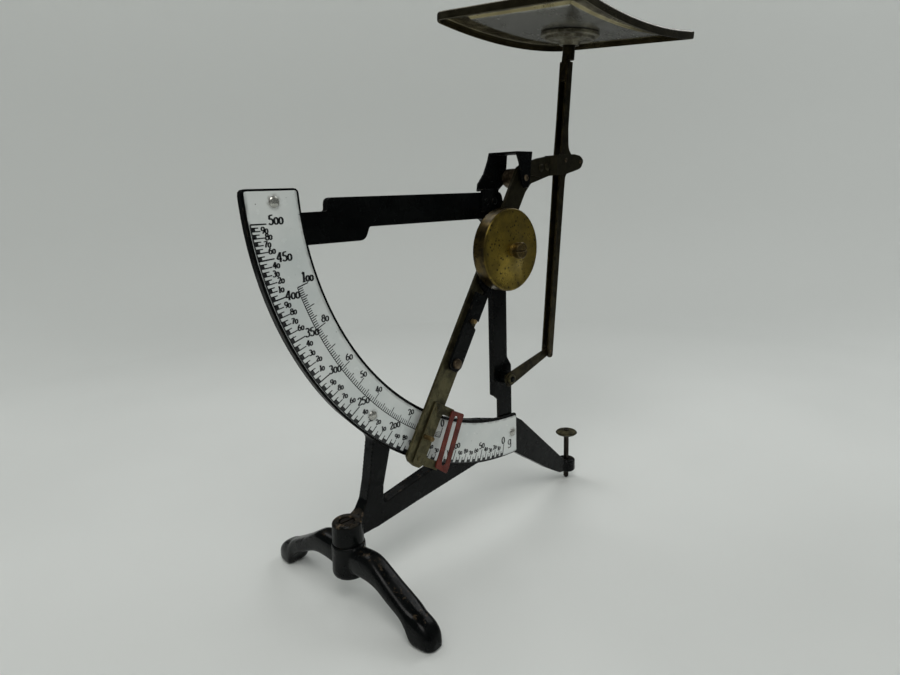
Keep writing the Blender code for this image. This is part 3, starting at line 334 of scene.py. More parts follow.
def pan_nickel(centre):
    """Nickel plate, grey and cloudy on the panel, gone to brown brass on the border."""
    f = Finish("plated_pan")
    turn = math.radians(PAN_YAW)
    dx = f.offset(centre, 0)
    dy = f.offset(centre, 1)
    x = f.math("ADD", f.math("MULTIPLY", dx, math.cos(turn)),
               f.math("MULTIPLY", dy, math.sin(turn)))
    y = f.math("SUBTRACT", f.math("MULTIPLY", dy, math.cos(turn)),
               f.math("MULTIPLY", dx, math.sin(turn)))
    inset = f.math("MINIMUM",
                   f.math("SUBTRACT", PAN_HALF[0] * MM, f.math("ABSOLUTE", x)),
                   f.math("SUBTRACT", PAN_HALF[1] * MM, f.math("ABSOLUTE", y)))
    ragged = f.math("ADD", inset, f.math("MULTIPLY", f.noise(160, 5, 0.65), 1.2 * MM))
    cloud = f.noise(75, 6, 0.68)
    base = f.mix(f.span(cloud, 0.34, 0.66), (0.28, 0.275, 0.24), (0.56, 0.55, 0.49))
    border = f.mix(f.span(f.noise(120, 5, 0.6), 0.4, 0.62), (0.15, 0.125, 0.070),
                   (0.34, 0.295, 0.175))
    panel_edge = f.span(ragged, (PAN_STEP + 0.3) * MM, (PAN_STEP + 1.1) * MM, 1.0, 0.0)
    base = f.mix(panel_edge, base, border)
    # Painted highlight: a light olive band along the pressed step between the panel and the border.
    step_painted_highlight = f.math("MULTIPLY", f.span(inset, (PAN_STEP - 1.3) * MM, (PAN_STEP - 0.8) * MM),
                   f.span(inset, (PAN_STEP - 0.1) * MM, (PAN_STEP + 0.4) * MM, 1.0, 0.0))
    base = f.mix(f.math("MULTIPLY", step_painted_highlight, 0.7), base, (0.27, 0.235, 0.12))
    base = f.mix(f.span(inset, 0.5 * MM, 2.2 * MM, 0.9, 0.0), base, (0.030, 0.026, 0.014))
    stain = f.span(f.noise(38, 5, 0.6, None, 0.8), 0.54, 0.64)
    base = f.mix(f.math("MULTIPLY", stain, 0.4), base, (0.15, 0.135, 0.09))
    specks = f.math("MULTIPLY", f.span(f.cells(520), 0.08, 0.20, 1.0, 0.0),
                    f.span(f.noise(110, 3), 0.42, 0.54))
    base = f.mix(f.math("MULTIPLY", specks, 0.85), base, (0.03, 0.025, 0.012))
    hair = f.noise(1400, 2, 0.6, f.stretched((0.05, 1.0, 1.0), (0.0, 0.0, 0.6)))
    gloss = f.span(cloud, 0.3, 0.7, 0.30, 0.12)
    normal = f.bump(hair, 0.006 * MM, f.bump(f.noise(70, 3), 0.08 * MM))
    return f.surface(base, gloss, 0.85, normal, 0.0, 0.1, 0.5)


def red_paint():
    """Brick-red paint rubbed through to brass on the edges of the reading frame."""
    f = Finish("index_red")
    base = f.mix(f.span(f.noise(260, 4), 0.35, 0.65), (0.080, 0.011, 0.007), (0.135, 0.023, 0.014))
    rub = f.math("MULTIPLY", f.edges(0.35 * MM), f.span(f.noise(500, 4), 0.40, 0.58))
    base = f.mix(f.math("MULTIPLY", rub, 0.7), base, (0.10, 0.06, 0.035))
    dirt = f.span(f.noise(900, 3), 0.60, 0.72)
    base = f.mix(f.math("MULTIPLY", dirt, 0.5), base, (0.045, 0.012, 0.009))
    return f.surface(base, f.span(f.noise(400, 3), 0.3, 0.7, 0.35, 0.6), 0.0,
                     f.bump(f.noise(1300, 2), 0.02 * MM), 0.05, 0.2, 0.25)


def rivet_white():
    """Pale plated rivet heads with a warm grey bloom."""
    f = Finish("rivet_metal")
    base = f.mix(f.span(f.noise(400, 3), 0.3, 0.7), (0.40, 0.40, 0.37), (0.52, 0.52, 0.48))
    stain = f.span(f.noise(700, 3), 0.60, 0.72)
    base = f.mix(f.math("MULTIPLY", stain, 0.35), base, (0.22, 0.20, 0.15))
    return f.surface(base, f.span(f.noise(600, 2), 0.3, 0.7, 0.20, 0.32), 0.75,
                     f.bump(f.noise(700, 2), 0.01 * MM), 0.2, 0.1)


def screw_steel():
    """Steel browned by age, a little brighter on its rubbed edges."""
    f = Finish("screw_steel")
    base = f.mix(f.span(f.noise(600, 5), 0.35, 0.65), (0.05, 0.036, 0.022), (0.14, 0.105, 0.065))
    browning = f.span(f.noise(1400, 4), 0.56, 0.68)
    base = f.mix(f.math("MULTIPLY", browning, 0.7), base, (0.045, 0.018, 0.008))
    rub = f.math("MULTIPLY", f.edges(0.25 * MM), f.span(f.noise(700, 2), 0.35, 0.6))
    base = f.mix(f.math("MULTIPLY", rub, 0.6), base, (0.26, 0.22, 0.17))
    return f.surface(base, f.span(f.noise(900, 3), 0.3, 0.7, 0.3, 0.55), 0.8,
                     f.bump(f.noise(1600, 2), 0.02 * MM))


def knurled_knob(centre):
    """Dark brass knob with a fine milled edge."""
    f = Finish("levelling_knob_brass")
    out = f.radius(centre, "Z")
    teeth = f.math("SINE", f.math("MULTIPLY", f.turn_about(centre, "Z"), 64.0))
    milled = f.math("MULTIPLY", f.span(teeth, -0.6, 0.6), f.span(out, 5.0 * MM, 5.7 * MM))
    base = f.mix(f.span(f.noise(350, 4), 0.35, 0.65), (0.05, 0.044, 0.022), (0.14, 0.12, 0.06))
    base = f.mix(f.math("MULTIPLY", milled, 0.5), base, (0.02, 0.017, 0.008))
    grime = f.span(f.noise(900, 3), 0.55, 0.68)
    base = f.mix(f.math("MULTIPLY", grime, 0.5), base, (0.02, 0.02, 0.014))
    normal = f.bump(milled, 0.25 * MM, f.bump(f.noise(1200, 2), 0.02 * MM))
    return f.surface(base, f.span(f.noise(500, 2), 0.3, 0.7, 0.3, 0.5), 0.8, normal)


# ---------------------------------------------------------------- CAD nodes
def set_finish(obj, mat):
    obj.data.materials.clear()
    obj.data.materials.append(mat)


def round_edges(obj, width, segments=2):
    """Small real radius on every hard edge, without touching the mesh itself."""
    normals = obj.data.attributes.get("custom_normal")
    if normals:
        obj.data.attributes.remove(normals)
    for polygon in obj.data.polygons:
        polygon.use_smooth = True
    weld = obj.modifiers.new("weld", "WELD")
    weld.merge_threshold = 0.000004
    flat = obj.modifiers.new("flat", "DECIMATE")
    flat.decimate_type = "DISSOLVE"
    flat.angle_limit = math.radians(0.6)
    bevel = obj.modifiers.new("edges", "BEVEL")
    bevel.width = width
    bevel.segments = segments
    bevel.limit_method = "ANGLE"
    bevel.angle_limit = math.radians(32)
    bevel.harden_normals = True
    bevel.use_clamp_overlap = True


def cast_skin(obj, voxel, rounds):
    """Melts corners and joins into the soft shapes of a casting."""
    weld = obj.modifiers.new("weld", "WELD")
    weld.merge_threshold = 0.000004
    skin = obj.modifiers.new("skin", "REMESH")
    skin.mode = "VOXEL"
    skin.voxel_size = voxel
    skin.use_smooth_shade = True
    soft = obj.modifiers.new("soft", "SMOOTH")
    soft.factor = 0.5
    soft.iterations = rounds


EDGE_WIDTHS = {
    "frame_post_arm": 0.45, "dial_tray": 0.35, "dial_plate": 0.18, "bearing_yoke": 0.25,
    "pointer_lever": 0.22, "range_arm": 0.30, "range_weight": 0.35, "load_rod": 0.28,
    "fork_cheek_front": 0.2, "fork_cheek_back": 0.2, "index_bracket": 0.15, "index_frame": 0.15,
    "stay_link": 0.2, "pan_flange": 0.25, "pan_spigot": 0.2, "link_stud": 0.15}


def finish_nodes():
    olive = tarnished("worn_brass", (0.115, 0.103, 0.052), (0.066, 0.059, 0.031),
                      (0.014, 0.012, 0.006), (0.22, 0.16, 0.065), turn=-0.56,
                      # painted shade on these parts from 85 mm below the pivot upwards
                      painted_shade_above=(PIVOT.z - 0.085, PIVOT.z - 0.03))
    bronze = tarnished("dark_bronze", (0.040, 0.032, 0.013), (0.016, 0.013, 0.006),
                       (0.005, 0.004, 0.002), (0.17, 0.115, 0.040), streak=(1.0, 1.0, 0.08))
    flange = tarnished("flange_nickel", (0.25, 0.235, 0.18), (0.12, 0.108, 0.075),
                       (0.03, 0.026, 0.016), (0.30, 0.27, 0.19), streak=(1.0, 1.0, 1.0))
    gold = tarnished("stop_brass", (0.30, 0.21, 0.09), (0.17, 0.12, 0.05), (0.05, 0.03, 0.012),
                     (0.40, 0.30, 0.14), streak=(1.0, 1.0, 1.0))
    disc = turned_brass("weight_brass", middle("range_weight"), (0.34, 0.245, 0.040),
                        (0.20, 0.145, 0.024), (0.050, 0.036, 0.009), 18.9 * MM)
    screw_brass = tarnished("screw_brass", (0.15, 0.105, 0.036), (0.060, 0.043, 0.016),
                            (0.014, 0.010, 0.005), (0.30, 0.22, 0.08), streak=(1.0, 1.0, 1.0),
                            rough=(0.22, 0.42))
    collar = tarnished("collar_brass", (0.30, 0.21, 0.055), (0.17, 0.12, 0.03),
                       (0.05, 0.035, 0.012), (0.40, 0.29, 0.10), streak=(1.0, 1.0, 1.0))
    dark_screw = tarnished("hub_screw_black", (0.030, 0.024, 0.018), (0.014, 0.011, 0.009),
                           (0.006, 0.005, 0.004), (0.07, 0.05, 0.03), streak=(1.0, 1.0, 1.0))
    slots = {
        "cast_black": cast_enamel(), "sheet_black": sheet_enamel(), "dial_enamel": dial_enamel(),
        "rivet_metal": rivet_white(), "worn_brass": olive, "weight_brass": gold,
        "plated_pan": pan_nickel(middle("pan_rivet")), "screw_steel": screw_steel(),
        "index_red": red_paint()}
    own = {
        "load_rod": bronze, "pan_spigot": bronze, "stay_link": bronze, "pan_flange": flange,
        "range_weight": disc, "weight_screw": screw_brass, "weight_collar": collar,
        "link_stud": slots["sheet_black"], "link_collar": olive, "hub_bush": olive,
        "foot_clamp_screw": dark_screw, "levelling_screw": dark_screw,
        "levelling_knob": knurled_knob(middle("levelling_knob"))}
    for part in frame["record"]["subparts"]:
        node = part["node"]
        obj = NODES[node]
        set_finish(obj, own.get(node, slots[part["material_slot"]]))
        if node == "base_casting":
            cast_skin(obj, 0.32 * MM, 4)
        elif node != "cross_foot":
            round_edges(obj, EDGE_WIDTHS.get(node, 0.12) * MM)
    return slots


# -------------------------------------------------------------- dial print
LIFT = 0.03 * MM
OUTER_LINE = 140.0
OUTER_EDGE = 140.38
OUTER_SLANT = 0.0008        # radians each millimetre of a tick leans off the radius
# tan of the scale angle is (first + second * grams) / (1 - third * grams)
OUTER_LAW = (0.0925, 0.002162, 0.0017655)
INNER_LINE = 129.1
INNER_LAW = (0.4877, 0.007323, 0.006316)
OUTER_TICK = 0.46          # widths of the lines, in mm
OUTER_TICK_LONG = 0.56
INNER_TICK = 0.42
INNER_TICK_END = 0.5
INNER_ARC_HALF = 0.17
BLOCK_DEPTH = 1.35         # black blocks between alternate 5 g lines
TENS_HIGH = 2.3            # heights of the figures, in mm
FIFTIES_HIGH = 3.4
ZERO_HIGH = 3.8
TENS_HEAVY = 0.30          # pen width as a share of the height
FIFTIES_HEAVY = 0.25
NOUGHT_STRETCH = 1.22


def arc(cx, cz, rx, rz, start, end, steps=12):
    """Points of an ellipse between two angles in degrees."""
    out = []
    for i in range(steps + 1):
        a = math.radians(start + (end - start) * i / steps)
        out.append((cx + rx * math.cos(a), cz + rz * math.sin(a)))
    return out


def glyphs():
    """Old-face figures as pen strokes in a box one unit high, with their widths."""
    return {
        "0": (0.62, [arc(0.31, 0.5, 0.24, 0.45, 0, 360, 20)]),
        "1": (0.46, [[(0.25, 0.98), (0.25, 0.03)], [(0.26, 0.97), (0.08, 0.80)],
                     [(0.08, 0.02), (0.42, 0.02)]]),
        "2": (0.60, [arc(0.28, 0.72, 0.21, 0.24, 165, -30, 12) + [(0.07, 0.06)],
                     [(0.06, 0.05), (0.54, 0.05)], [(0.54, 0.05), (0.56, 0.20)]]),
        "3": (0.58, [arc(0.26, 0.75, 0.20, 0.21, 150, -90, 12),
                     arc(0.26, 0.28, 0.25, 0.26, 90, -150, 14)]),
        "4": (0.64, [[(0.42, 0.98), (0.04, 0.30)], [(0.04, 0.28), (0.62, 0.28)],
                     [(0.43, 0.98), (0.43, 0.03)], [(0.30, 0.02), (0.56, 0.02)]]),
        "5": (0.60, [[(0.15, 0.94), (0.52, 0.97)], [(0.15, 0.94), (0.12, 0.54)],
                     arc(0.28, 0.31, 0.24, 0.28, 130, -150, 16)]),
        "6": (0.60, [arc(0.30, 0.29, 0.23, 0.27, 0, 360, 18),
                     arc(0.52, 0.31, 0.45, 0.66, 105, 180, 8)]),
        "7": (0.56, [[(0.06, 0.82), (0.07, 0.94)], [(0.07, 0.93), (0.52, 0.93)],
                     [(0.52, 0.93), (0.28, 0.45), (0.22, 0.03)]]),
        "8": (0.60, [arc(0.30, 0.75, 0.18, 0.21, 0, 360, 16),
                     arc(0.30, 0.28, 0.24, 0.26, 0, 360, 18)]),
        "9": (0.60, [arc(0.30, 0.71, 0.23, 0.27, 0, 360, 18),
                     arc(0.08, 0.69, 0.45, 0.66, -75, 0, 8)]),
        "g": (0.62, [arc(0.27, 0.36, 0.21, 0.28, 0, 360, 18), [(0.50, 0.66), (0.50, -0.12)],
                     arc(0.28, -0.12, 0.22, 0.19, 0, -160, 10)])}


class Print:
    """Flat black marks on the dial, laid down as one mesh."""

    def __init__(self):
        self.verts = []
        self.faces = []
        self.figures = glyphs()

    def quad(self, points):
        start = len(self.verts)
        y = PLATE_FRONT - LIFT
        self.verts += [(PIVOT.x + x * MM, y, PIVOT.z + z * MM) for x, z in points]
        self.faces.append(tuple(range(start, start + len(points))))

    def stroke(self, points, widths):
        """Ribbon along points, as wide as widths says at each."""
        sides = []
        for i, (x, z) in enumerate(points):
            a = Vector(points[max(0, i - 1)])
            b = Vector(points[min(len(points) - 1, i + 1)])
            way = (b - a).normalized()
            half = widths[i] / 2
            sides.append(((x - way.y * half, z + way.x * half),
                          (x + way.y * half, z - way.x * half)))
        for one, two in zip(sides, sides[1:]):
            self.quad([one[0], one[1], two[1], two[0]])

    def ring(self, r1, r2, first, last, steps):
        for i in range(steps):
            a = first + (last - first) * i / steps
            b = first + (last - first) * (i + 1) / steps
            self.quad([on_dial(r1, a), on_dial(r2, a), on_dial(r2, b), on_dial(r1, b)])

    def tick(self, theta, r1, r2, width, slant=0.0):
        end = theta - slant * abs(r1 - r2)
        self.stroke([on_dial(r1, theta), on_dial(r2, end)], [width, width * 0.85])

    def figure(self, key, x, z, high, wide, heavy):
        """One figure with its lower left corner at x, z; upright strokes are heavy."""
        for line in self.figures[key][1]:
            points = [(x + px * wide, z + pz * high) for px, pz in line]
            widths = []
            for i in range(len(points)):
                a = Vector(points[max(0, i - 1)])
                b = Vector(points[min(len(points) - 1, i + 1)])
                upright = abs((b - a).normalized().y)
                widths.append(heavy * (0.55 + 0.45 * upright ** 1.4))
            self.stroke(points, widths)

    def size(self, text, high, zero):
        total = 0.0
        for key in text:
            tall = high * zero if key == "0" and len(text) > 1 else high
            stretch = NOUGHT_STRETCH if key == "0" and len(text) > 1 else 1.0
            total += self.figures[key][0] * tall * stretch
        return total

    def label(self, text, x, z, high, zero=0.72, heavy=0.15):
        """Number centred on x, z; noughts after another figure are small."""
        left = x - self.size(text, high, zero) / 2
        base = z - high / 2
        for key in text:
            small = key == "0" and len(text) > 1
            tall = high * zero if small else high
            wide = tall * (NOUGHT_STRETCH if small else 1.0)
            self.figure(key, left, base, tall, wide, heavy * high)
            left += self.figures[key][0] * wide

    def build(self, mat):
        mesh = bpy.data.meshes.new("dial_print")
        mesh.from_pydata(self.verts, [], self.faces)
        mesh.update()
        bm = bmesh.new()
        bm.from_mesh(mesh)
        for face in bm.faces:
            if face.normal.y > 0:
                face.normal_flip()
        bm.to_mesh(mesh)
        bm.free()
        mesh.materials.append(mat)
        obj = bpy.data.objects.new("dial_print", mesh)
        bpy.context.scene.collection.objects.link(obj)
        return obj


def on_dial(r, theta):
    """Millimetres from the pivot: theta in radians from straight down towards -X."""
    return (-r * math.sin(theta), -r * math.cos(theta))


def scale_angle(law, grams):
    a, b, d = law
    return math.atan2(a + b * grams, 1 - d * grams)


def outer_scale(ink):
    """0 to 500 g: lines each 5 g, black and white blocks along the edge."""
    first = scale_angle(OUTER_LAW, 0)
    last = scale_angle(OUTER_LAW, 500)
    ink.ring(OUTER_EDGE, OUTER_LINE - 0.1, first, last, 160)
    for grams in range(0, 501, 5):
        theta = scale_angle(OUTER_LAW, grams)
        reach = 2.6
        width = OUTER_TICK
        if grams % 50 == 0:
            reach = 5.9
            width = OUTER_TICK_LONG
        elif grams % 20 == 0:
            reach = 4.2
        elif grams % 10 == 0:
            reach = 3.2
        ink.tick(theta, OUTER_LINE, OUTER_LINE - reach, width, OUTER_SLANT)
        if grams % 10 == 0 and grams < 500:
            ink.ring(OUTER_LINE, OUTER_LINE - BLOCK_DEPTH, theta, scale_angle(OUTER_LAW, grams + 5), 2)
        if grams % 10 == 0:
            outer_label(ink, grams, theta, OUTER_LINE - reach)


def outer_label(ink, grams, theta, r):
    text = str(grams) if grams % 50 == 0 else str(grams % 100)
    high = TENS_HIGH
    if grams % 50 == 0:
        high = FIFTIES_HIGH
    if grams == 0:
        high = ZERO_HIGH
    heavy = TENS_HEAVY if grams % 50 else FIFTIES_HEAVY
    wide = ink.size(text, high, 0.72)
    inward = (math.sin(theta), math.cos(theta))
    away = abs(inward[0]) * wide / 2 + abs(inward[1]) * high / 2 + 0.15
    # the lettering isn't regular: these three figures stand off their places
    if grams in (450, 500):
        away += 0.6
    elif grams == 400:
        away -= 0.9
    x, z = on_dial(r, theta)
    drop = 0.12 if grams % 50 else 0.28
    if grams == 500:
        drop = -0.10
    lift = -drop * high * inward[0]
    ink.label(text, x + inward[0] * away, z + inward[1] * away + lift, high, heavy=heavy)


def inner_scale(ink):
    """0 to 100 g: a line for every gram."""
    first = scale_angle(INNER_LAW, 0)
    last = scale_angle(INNER_LAW, 100)
    ink.ring(INNER_LINE + INNER_ARC_HALF, INNER_LINE - INNER_ARC_HALF,
             first, last, 90)
    for grams in range(0, 101):
        if grams in (1, 2):
            continue
        theta = scale_angle(INNER_LAW, grams)
        reach = 2.0
        width = INNER_TICK
        if grams % 20 == 0 or grams == 50:
            reach = 4.7
        elif grams % 10 == 0:
            reach = 3.9
        elif grams % 5 == 0:
            reach = 2.9
        if grams == 100 or grams == 0:
            width = INNER_TICK_END
        ink.tick(theta, INNER_LINE, INNER_LINE - reach, width)
        if grams % 20 == 0 or grams == 50:
            high = {100: 3.7, 0: 3.5}.get(grams, 2.8)
            x, z = on_dial(INNER_LINE - reach, theta)
            ink.label(str(grams), x, z + high / 2 + 0.45, high, 0.58 if grams == 100 else 0.74,
                      FIFTIES_HEAVY)
    hatch(ink, first, scale_angle(INNER_LAW, 2.5))


def hatch(ink, first, last):
    """Barred square below the first gram, where the reading isn't reliable."""
    low = INNER_LINE - 0.05
    top = INNER_LINE - 2.5
    ink.tick(last, low, top, 0.15)
    ink.ring(top + 0.07, top - 0.07, first, last, 3)
    for k in range(4):
        a = first + (last - first) * k / 4
        b = first + (last - first) * (k + 1) / 4
        ink.stroke([on_dial(low, b), on_dial(top, a)], [0.15, 0.15])


def dial_print(mat):
    ink = Print()
    outer_scale(ink)
    inner_scale(ink)
    theta = scale_angle(OUTER_LAW, 0)
    x, z = on_dial(OUTER_LINE - 6.0, theta)
    ink.label("g", x + 5.2, z + 0.2, 4.6, heavy=0.16)
    obj = ink.build(mat)
    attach(obj, "stand")


# ------------------------------------------------------------------------ pan
PAN_FOOT = Vector((60.378 * MM, -7.5 * MM, 231.3 * MM))   # where the stem starts to lean
PAN_RISE = 12.6            # underside of the plate above that, in mm
PAN_HALF = (55.5, 40.3)
PAN_SAG = 4.0
PAN_T = 0.55
PAN_LEAN = 5.0
PAN_YAW = 2.6
PAN_RADIUS = 5.0
PAN_STEP = 12.5            # from the edge to the pressed panel
PAN_RIM = 3.3              # how far the rim hangs down


def rounded_rectangle(half_x, half_y, radius, per_corner=7, per_side=15):
    """Closed outline; the same number of points whatever its size."""
    radius = max(0.02, min(radius, half_x * 0.9, half_y * 0.9))
    out = []
    corners = ((1, 1, 0), (-1, 1, 90), (-1, -1, 180), (1, -1, 270))
    for k, (sx, sy, start) in enumerate(corners):
        cx = sx * (half_x - radius)
        cy = sy * (half_y - radius)
        bend = arc(cx, cy, radius, radius, start, start + 90, per_corner - 1)
        nx, ny, turn = corners[(k + 1) % 4]
        goal = arc(nx * (half_x - radius), ny * (half_y - radius), radius, radius, turn, turn, 1)[0]
        out += bend
        for i in range(1, per_side + 1):
            t = i / (per_side + 1)
            out.append((bend[-1][0] + (goal[0] - bend[-1][0]) * t,
                        bend[-1][1] + (goal[1] - bend[-1][1]) * t))
    return out


def pan_profile():
    """(inset from the edge, height of the upper face) from the panel out to the rim."""
    step = [(0.0, 0.0), (0.25, 0.06), (0.45, 0.26), (0.8, 0.74), (1.0, 0.94), (1.3, 1.0)]
    return [(PAN_STEP - out, high) for out, high in step] + [
        (5.0, 0.95), (2.2, 0.82), (1.1, 0.76), (0.5, 0.5), (0.15, 0.1), (0.0, -0.4),
        (0.0, -1.4), (0.0, 0.55 - PAN_RIM), (0.05, 0.2 - PAN_RIM), (0.2, -PAN_RIM)]


def pan_rings():
    """Rings of (x, y, z) in mm round the stem axis: over the top, round the rim, back under."""
    half_x, half_y = PAN_HALF
    profile = pan_profile()
    panel = rounded_rectangle(half_x - PAN_STEP, half_y - PAN_STEP, 3.2)
    shares = (0.085, 0.2, 0.35, 0.5, 0.65, 0.8, 0.92)

    def inner(drop):
        rings = [[(*(Vector(p).normalized() * 2.3), -drop) for p in panel]]
        for share in shares:
            blend = min(1.0, share / 0.35)
            ring = []
            for p in panel:
                flat = Vector(p) * share
                disc = Vector(p).normalized() * share * 34.0
                ring.append((*disc.lerp(flat, blend), -drop))
            rings.append(ring)
        return rings

    def outer(sheet):
        rings = []
        for inset, height in profile:
            grow = PAN_T if sheet else 0.0
            edge = rounded_rectangle(half_x - max(inset, grow + inset * 0.9), half_y
                                     - max(inset, grow + inset * 0.9),
                                     max(1.0, PAN_RADIUS - inset * 0.35))
            rings.append([(x, y, height) for x, y in edge])
        return rings

    top = inner(0.0) + outer(False)
    under = inner(PAN_T) + outer(True)
    first = len(shares) + 1
    for k, (inset, height) in enumerate(profile):
        drop = PAN_T if inset > 0.6 else PAN_T * 0.4 if height > -1 else 0.0
        index = first + k
        under[index] = [(x, y, z - drop) for x, y, z in under[index]]
    return top + list(reversed(under))


def pan_plate(mat):
    rings = pan_rings()
    size = len(rings[0])
    turn = Matrix.Translation(PAN_FOOT) @ Matrix.Rotation(math.radians(PAN_LEAN), 4, "X")
    turn = turn @ Matrix.Rotation(math.radians(PAN_YAW), 4, "Z")
    verts = []
    for ring in rings:
        for x, y, z in ring:
            lift = PAN_RISE + PAN_T + z + PAN_SAG * (x / PAN_HALF[0]) ** 2
            verts.append(turn @ (Vector((x, y, lift)) * MM))
    faces = []
    for k in range(len(rings)):
        n = (k + 1) % len(rings)
        for i in range(size):
            j = (i + 1) % size
            faces.append((k * size + i, k * size + j, n * size + j, n * size + i))
    obj = body_mesh("pan_plate", verts, faces, mat)
    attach(obj, "load_carrier")
    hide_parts("pan_tray")


def body_mesh(name, verts, faces, mat):
    mesh = bpy.data.meshes.new(name)
    mesh.from_pydata([tuple(v) for v in verts], [], faces)
    bm = bmesh.new()
    bm.from_mesh(mesh)
    bmesh.ops.recalc_face_normals(bm, faces=bm.faces)
    bm.to_mesh(mesh)
    bm.free()
    for polygon in mesh.polygons:
        polygon.use_smooth = True
    mesh.materials.append(mat)
    obj = bpy.data.objects.new(name, mesh)
    bpy.context.scene.collection.objects.link(obj)
    return obj


# ------------------------------------------------------------------ cross foot
FOOT_YAW = math.radians(3.0)
FOOT_STATIONS = (
    # out from the hub, top, underside, half width, in mm with the table at 0
    (0.0, 25.8, 14.0, 4.9), (9.0, 26.3, 15.8, 5.0), (14.5, 26.6, 16.0, 5.0),
    (18.2, 25.7, 15.8, 5.0), (22.7, 23.1, 14.6, 5.0), (28.7, 19.3, 11.8, 5.2),
    (35.7, 15.4, 8.6, 5.4), (39.0, 13.7, 5.0, 5.6), (41.6, 12.4, 0.3, 5.6),
    (46.5, 10.2, 0.0, 5.2), (49.6, 7.4, 0.0, 4.2), (51.4, 3.6, 0.6, 2.2))
BOSS_PROFILE = ((0.0, 26.8), (6.8, 26.8), (7.2, 26.4), (7.3, 20.0), (7.6, 14.0), (7.2, 12.6),
                (6.0, 11.9), (0.0, 11.9))


def between(rows, per_gap):
    """Catmull-Rom curve through rows of numbers."""
    out = []
    for i in range(len(rows) - 1):
        a = rows[max(0, i - 1)]
        b, c = rows[i], rows[i + 1]
        d = rows[min(len(rows) - 1, i + 2)]
        for k in range(per_gap):
            t = k / per_gap
            out.append(tuple(
                0.5 * (2 * q + (r - p) * t + (2 * p - 5 * q + 4 * r - s) * t * t
                       + (3 * q - p - 3 * r + s) * t ** 3) for p, q, r, s in zip(a, b, c, d)))
    return out + [rows[-1]]


def foot_ring(station, side, size=24):
    """Rounded above, squarer below, like a D lying on its back."""
    out, top, low, half = station
    waist = low + 0.45 * (top - low)
    points = []
    for i in range(size):
        a = 2 * math.pi * i / size
        c, s = math.cos(a), math.sin(a)
        power = 2 / 2.5 if s > 0 else 2 / 5.0
        x = half * math.copysign(abs(c) ** (2 / 3.0 if s > 0 else 2 / 5.0), c)
        reach = top - waist if s > 0 else waist - low
        points.append((x, side * out, waist + reach * math.copysign(abs(s) ** power, s)))
    return points


def foot_casting(mat):
    stations = between(FOOT_STATIONS, 4)
    rings = [foot_ring(s, 1) for s in reversed(stations)]
    rings += [foot_ring(s, -1) for s in stations[1:]]
    size = len(rings[0])
    verts = [p for ring in rings for p in ring]
    faces = [tuple(range(size)), tuple(range(len(verts) - size, len(verts)))]
    faces += grid_faces(len(rings), size, 0)
    start = len(verts)
    steps = 40
    boss = [[(r * math.cos(2 * math.pi * i / steps), r * math.sin(2 * math.pi * i / steps), z)
             for i in range(steps)] for r, z in BOSS_PROFILE[1:-1]]
    verts += [p for ring in boss for p in ring]
    faces += grid_faces(len(boss), steps, start)
    faces += [tuple(range(start, start + steps)), tuple(range(len(verts) - steps, len(verts)))]
    hub = middle("foot_clamp_screw")
    turn = Matrix.Translation((hub.x, hub.y, 0)) @ Matrix.Rotation(FOOT_YAW, 4, "Z")
    obj = body_mesh("foot_casting", [turn @ (Vector(v) * MM) for v in verts], faces, mat)
    cast_skin(obj, 0.38 * MM, 6)
    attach(obj, "stand")
    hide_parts("cross_foot")


def grid_faces(rows, size, start):
    """Faces between rings that follow each other."""
    faces = []
    for k in range(rows - 1):
        for i in range(size):
            j = (i + 1) % size
            a = start + k * size
            b = a + size
            faces.append((a + i, a + j, b + j, b + i))
    return faces


# ------------------------------------------------------- floor, light, camera
FLOOR_RADIUS = 0.52
FLOOR_BEND = 0.6           # radius of the curve from floor to wall
WALL_TOP = 1.9
BEND_STEPS = 12


def backdrop():
    """Pale seamless bowl: a flat floor that curves up into a wall all round."""
    profile = [(0.0, 0.0), (0.25, 0.0), (FLOOR_RADIUS, 0.0)]
    for i in range(1, BEND_STEPS + 1):
        a = math.pi / 2 * i / BEND_STEPS
        profile.append((FLOOR_RADIUS + FLOOR_BEND * math.sin(a),
                        FLOOR_BEND - FLOOR_BEND * math.cos(a)))
    wall_radius = FLOOR_RADIUS + FLOOR_BEND
    profile += [(wall_radius, 1.0), (wall_radius, WALL_TOP)]
    steps = 96
    floor_z = -0.05 * MM
    verts = [(0, 0, floor_z)]
    for r, z in profile[1:]:
        for i in range(steps):
            a = 2 * math.pi * i / steps
            verts.append((r * math.cos(a), r * math.sin(a), z + floor_z))
    inner = []
    outer = []
    for i in range(steps):
        j = (i + 1) % steps
        inner.append((0, 1 + i, 1 + j))
    for k in range(len(profile) - 2):
        for i in range(steps):
            j = (i + 1) % steps
            a = 1 + k * steps
            b = a + steps
            quad = (a + i, b + i, b + j, a + j)
            flat = profile[k + 1][1] == 0 and profile[k + 2][1] == 0
            (inner if flat else outer).append(quad)
    mat = backdrop_paper()
    for name, faces, seen in (("studio_floor", inner, True), ("studio_wall", outer, False)):
        mesh = bpy.data.meshes.new(name)
        mesh.from_pydata(verts, [], faces)
        for polygon in mesh.polygons:
            polygon.use_smooth = True
        mesh.materials.append(mat)
        obj = bpy.data.objects.new(name, mesh)
        bpy.context.scene.collection.objects.link(obj)
        obj.visible_glossy = seen


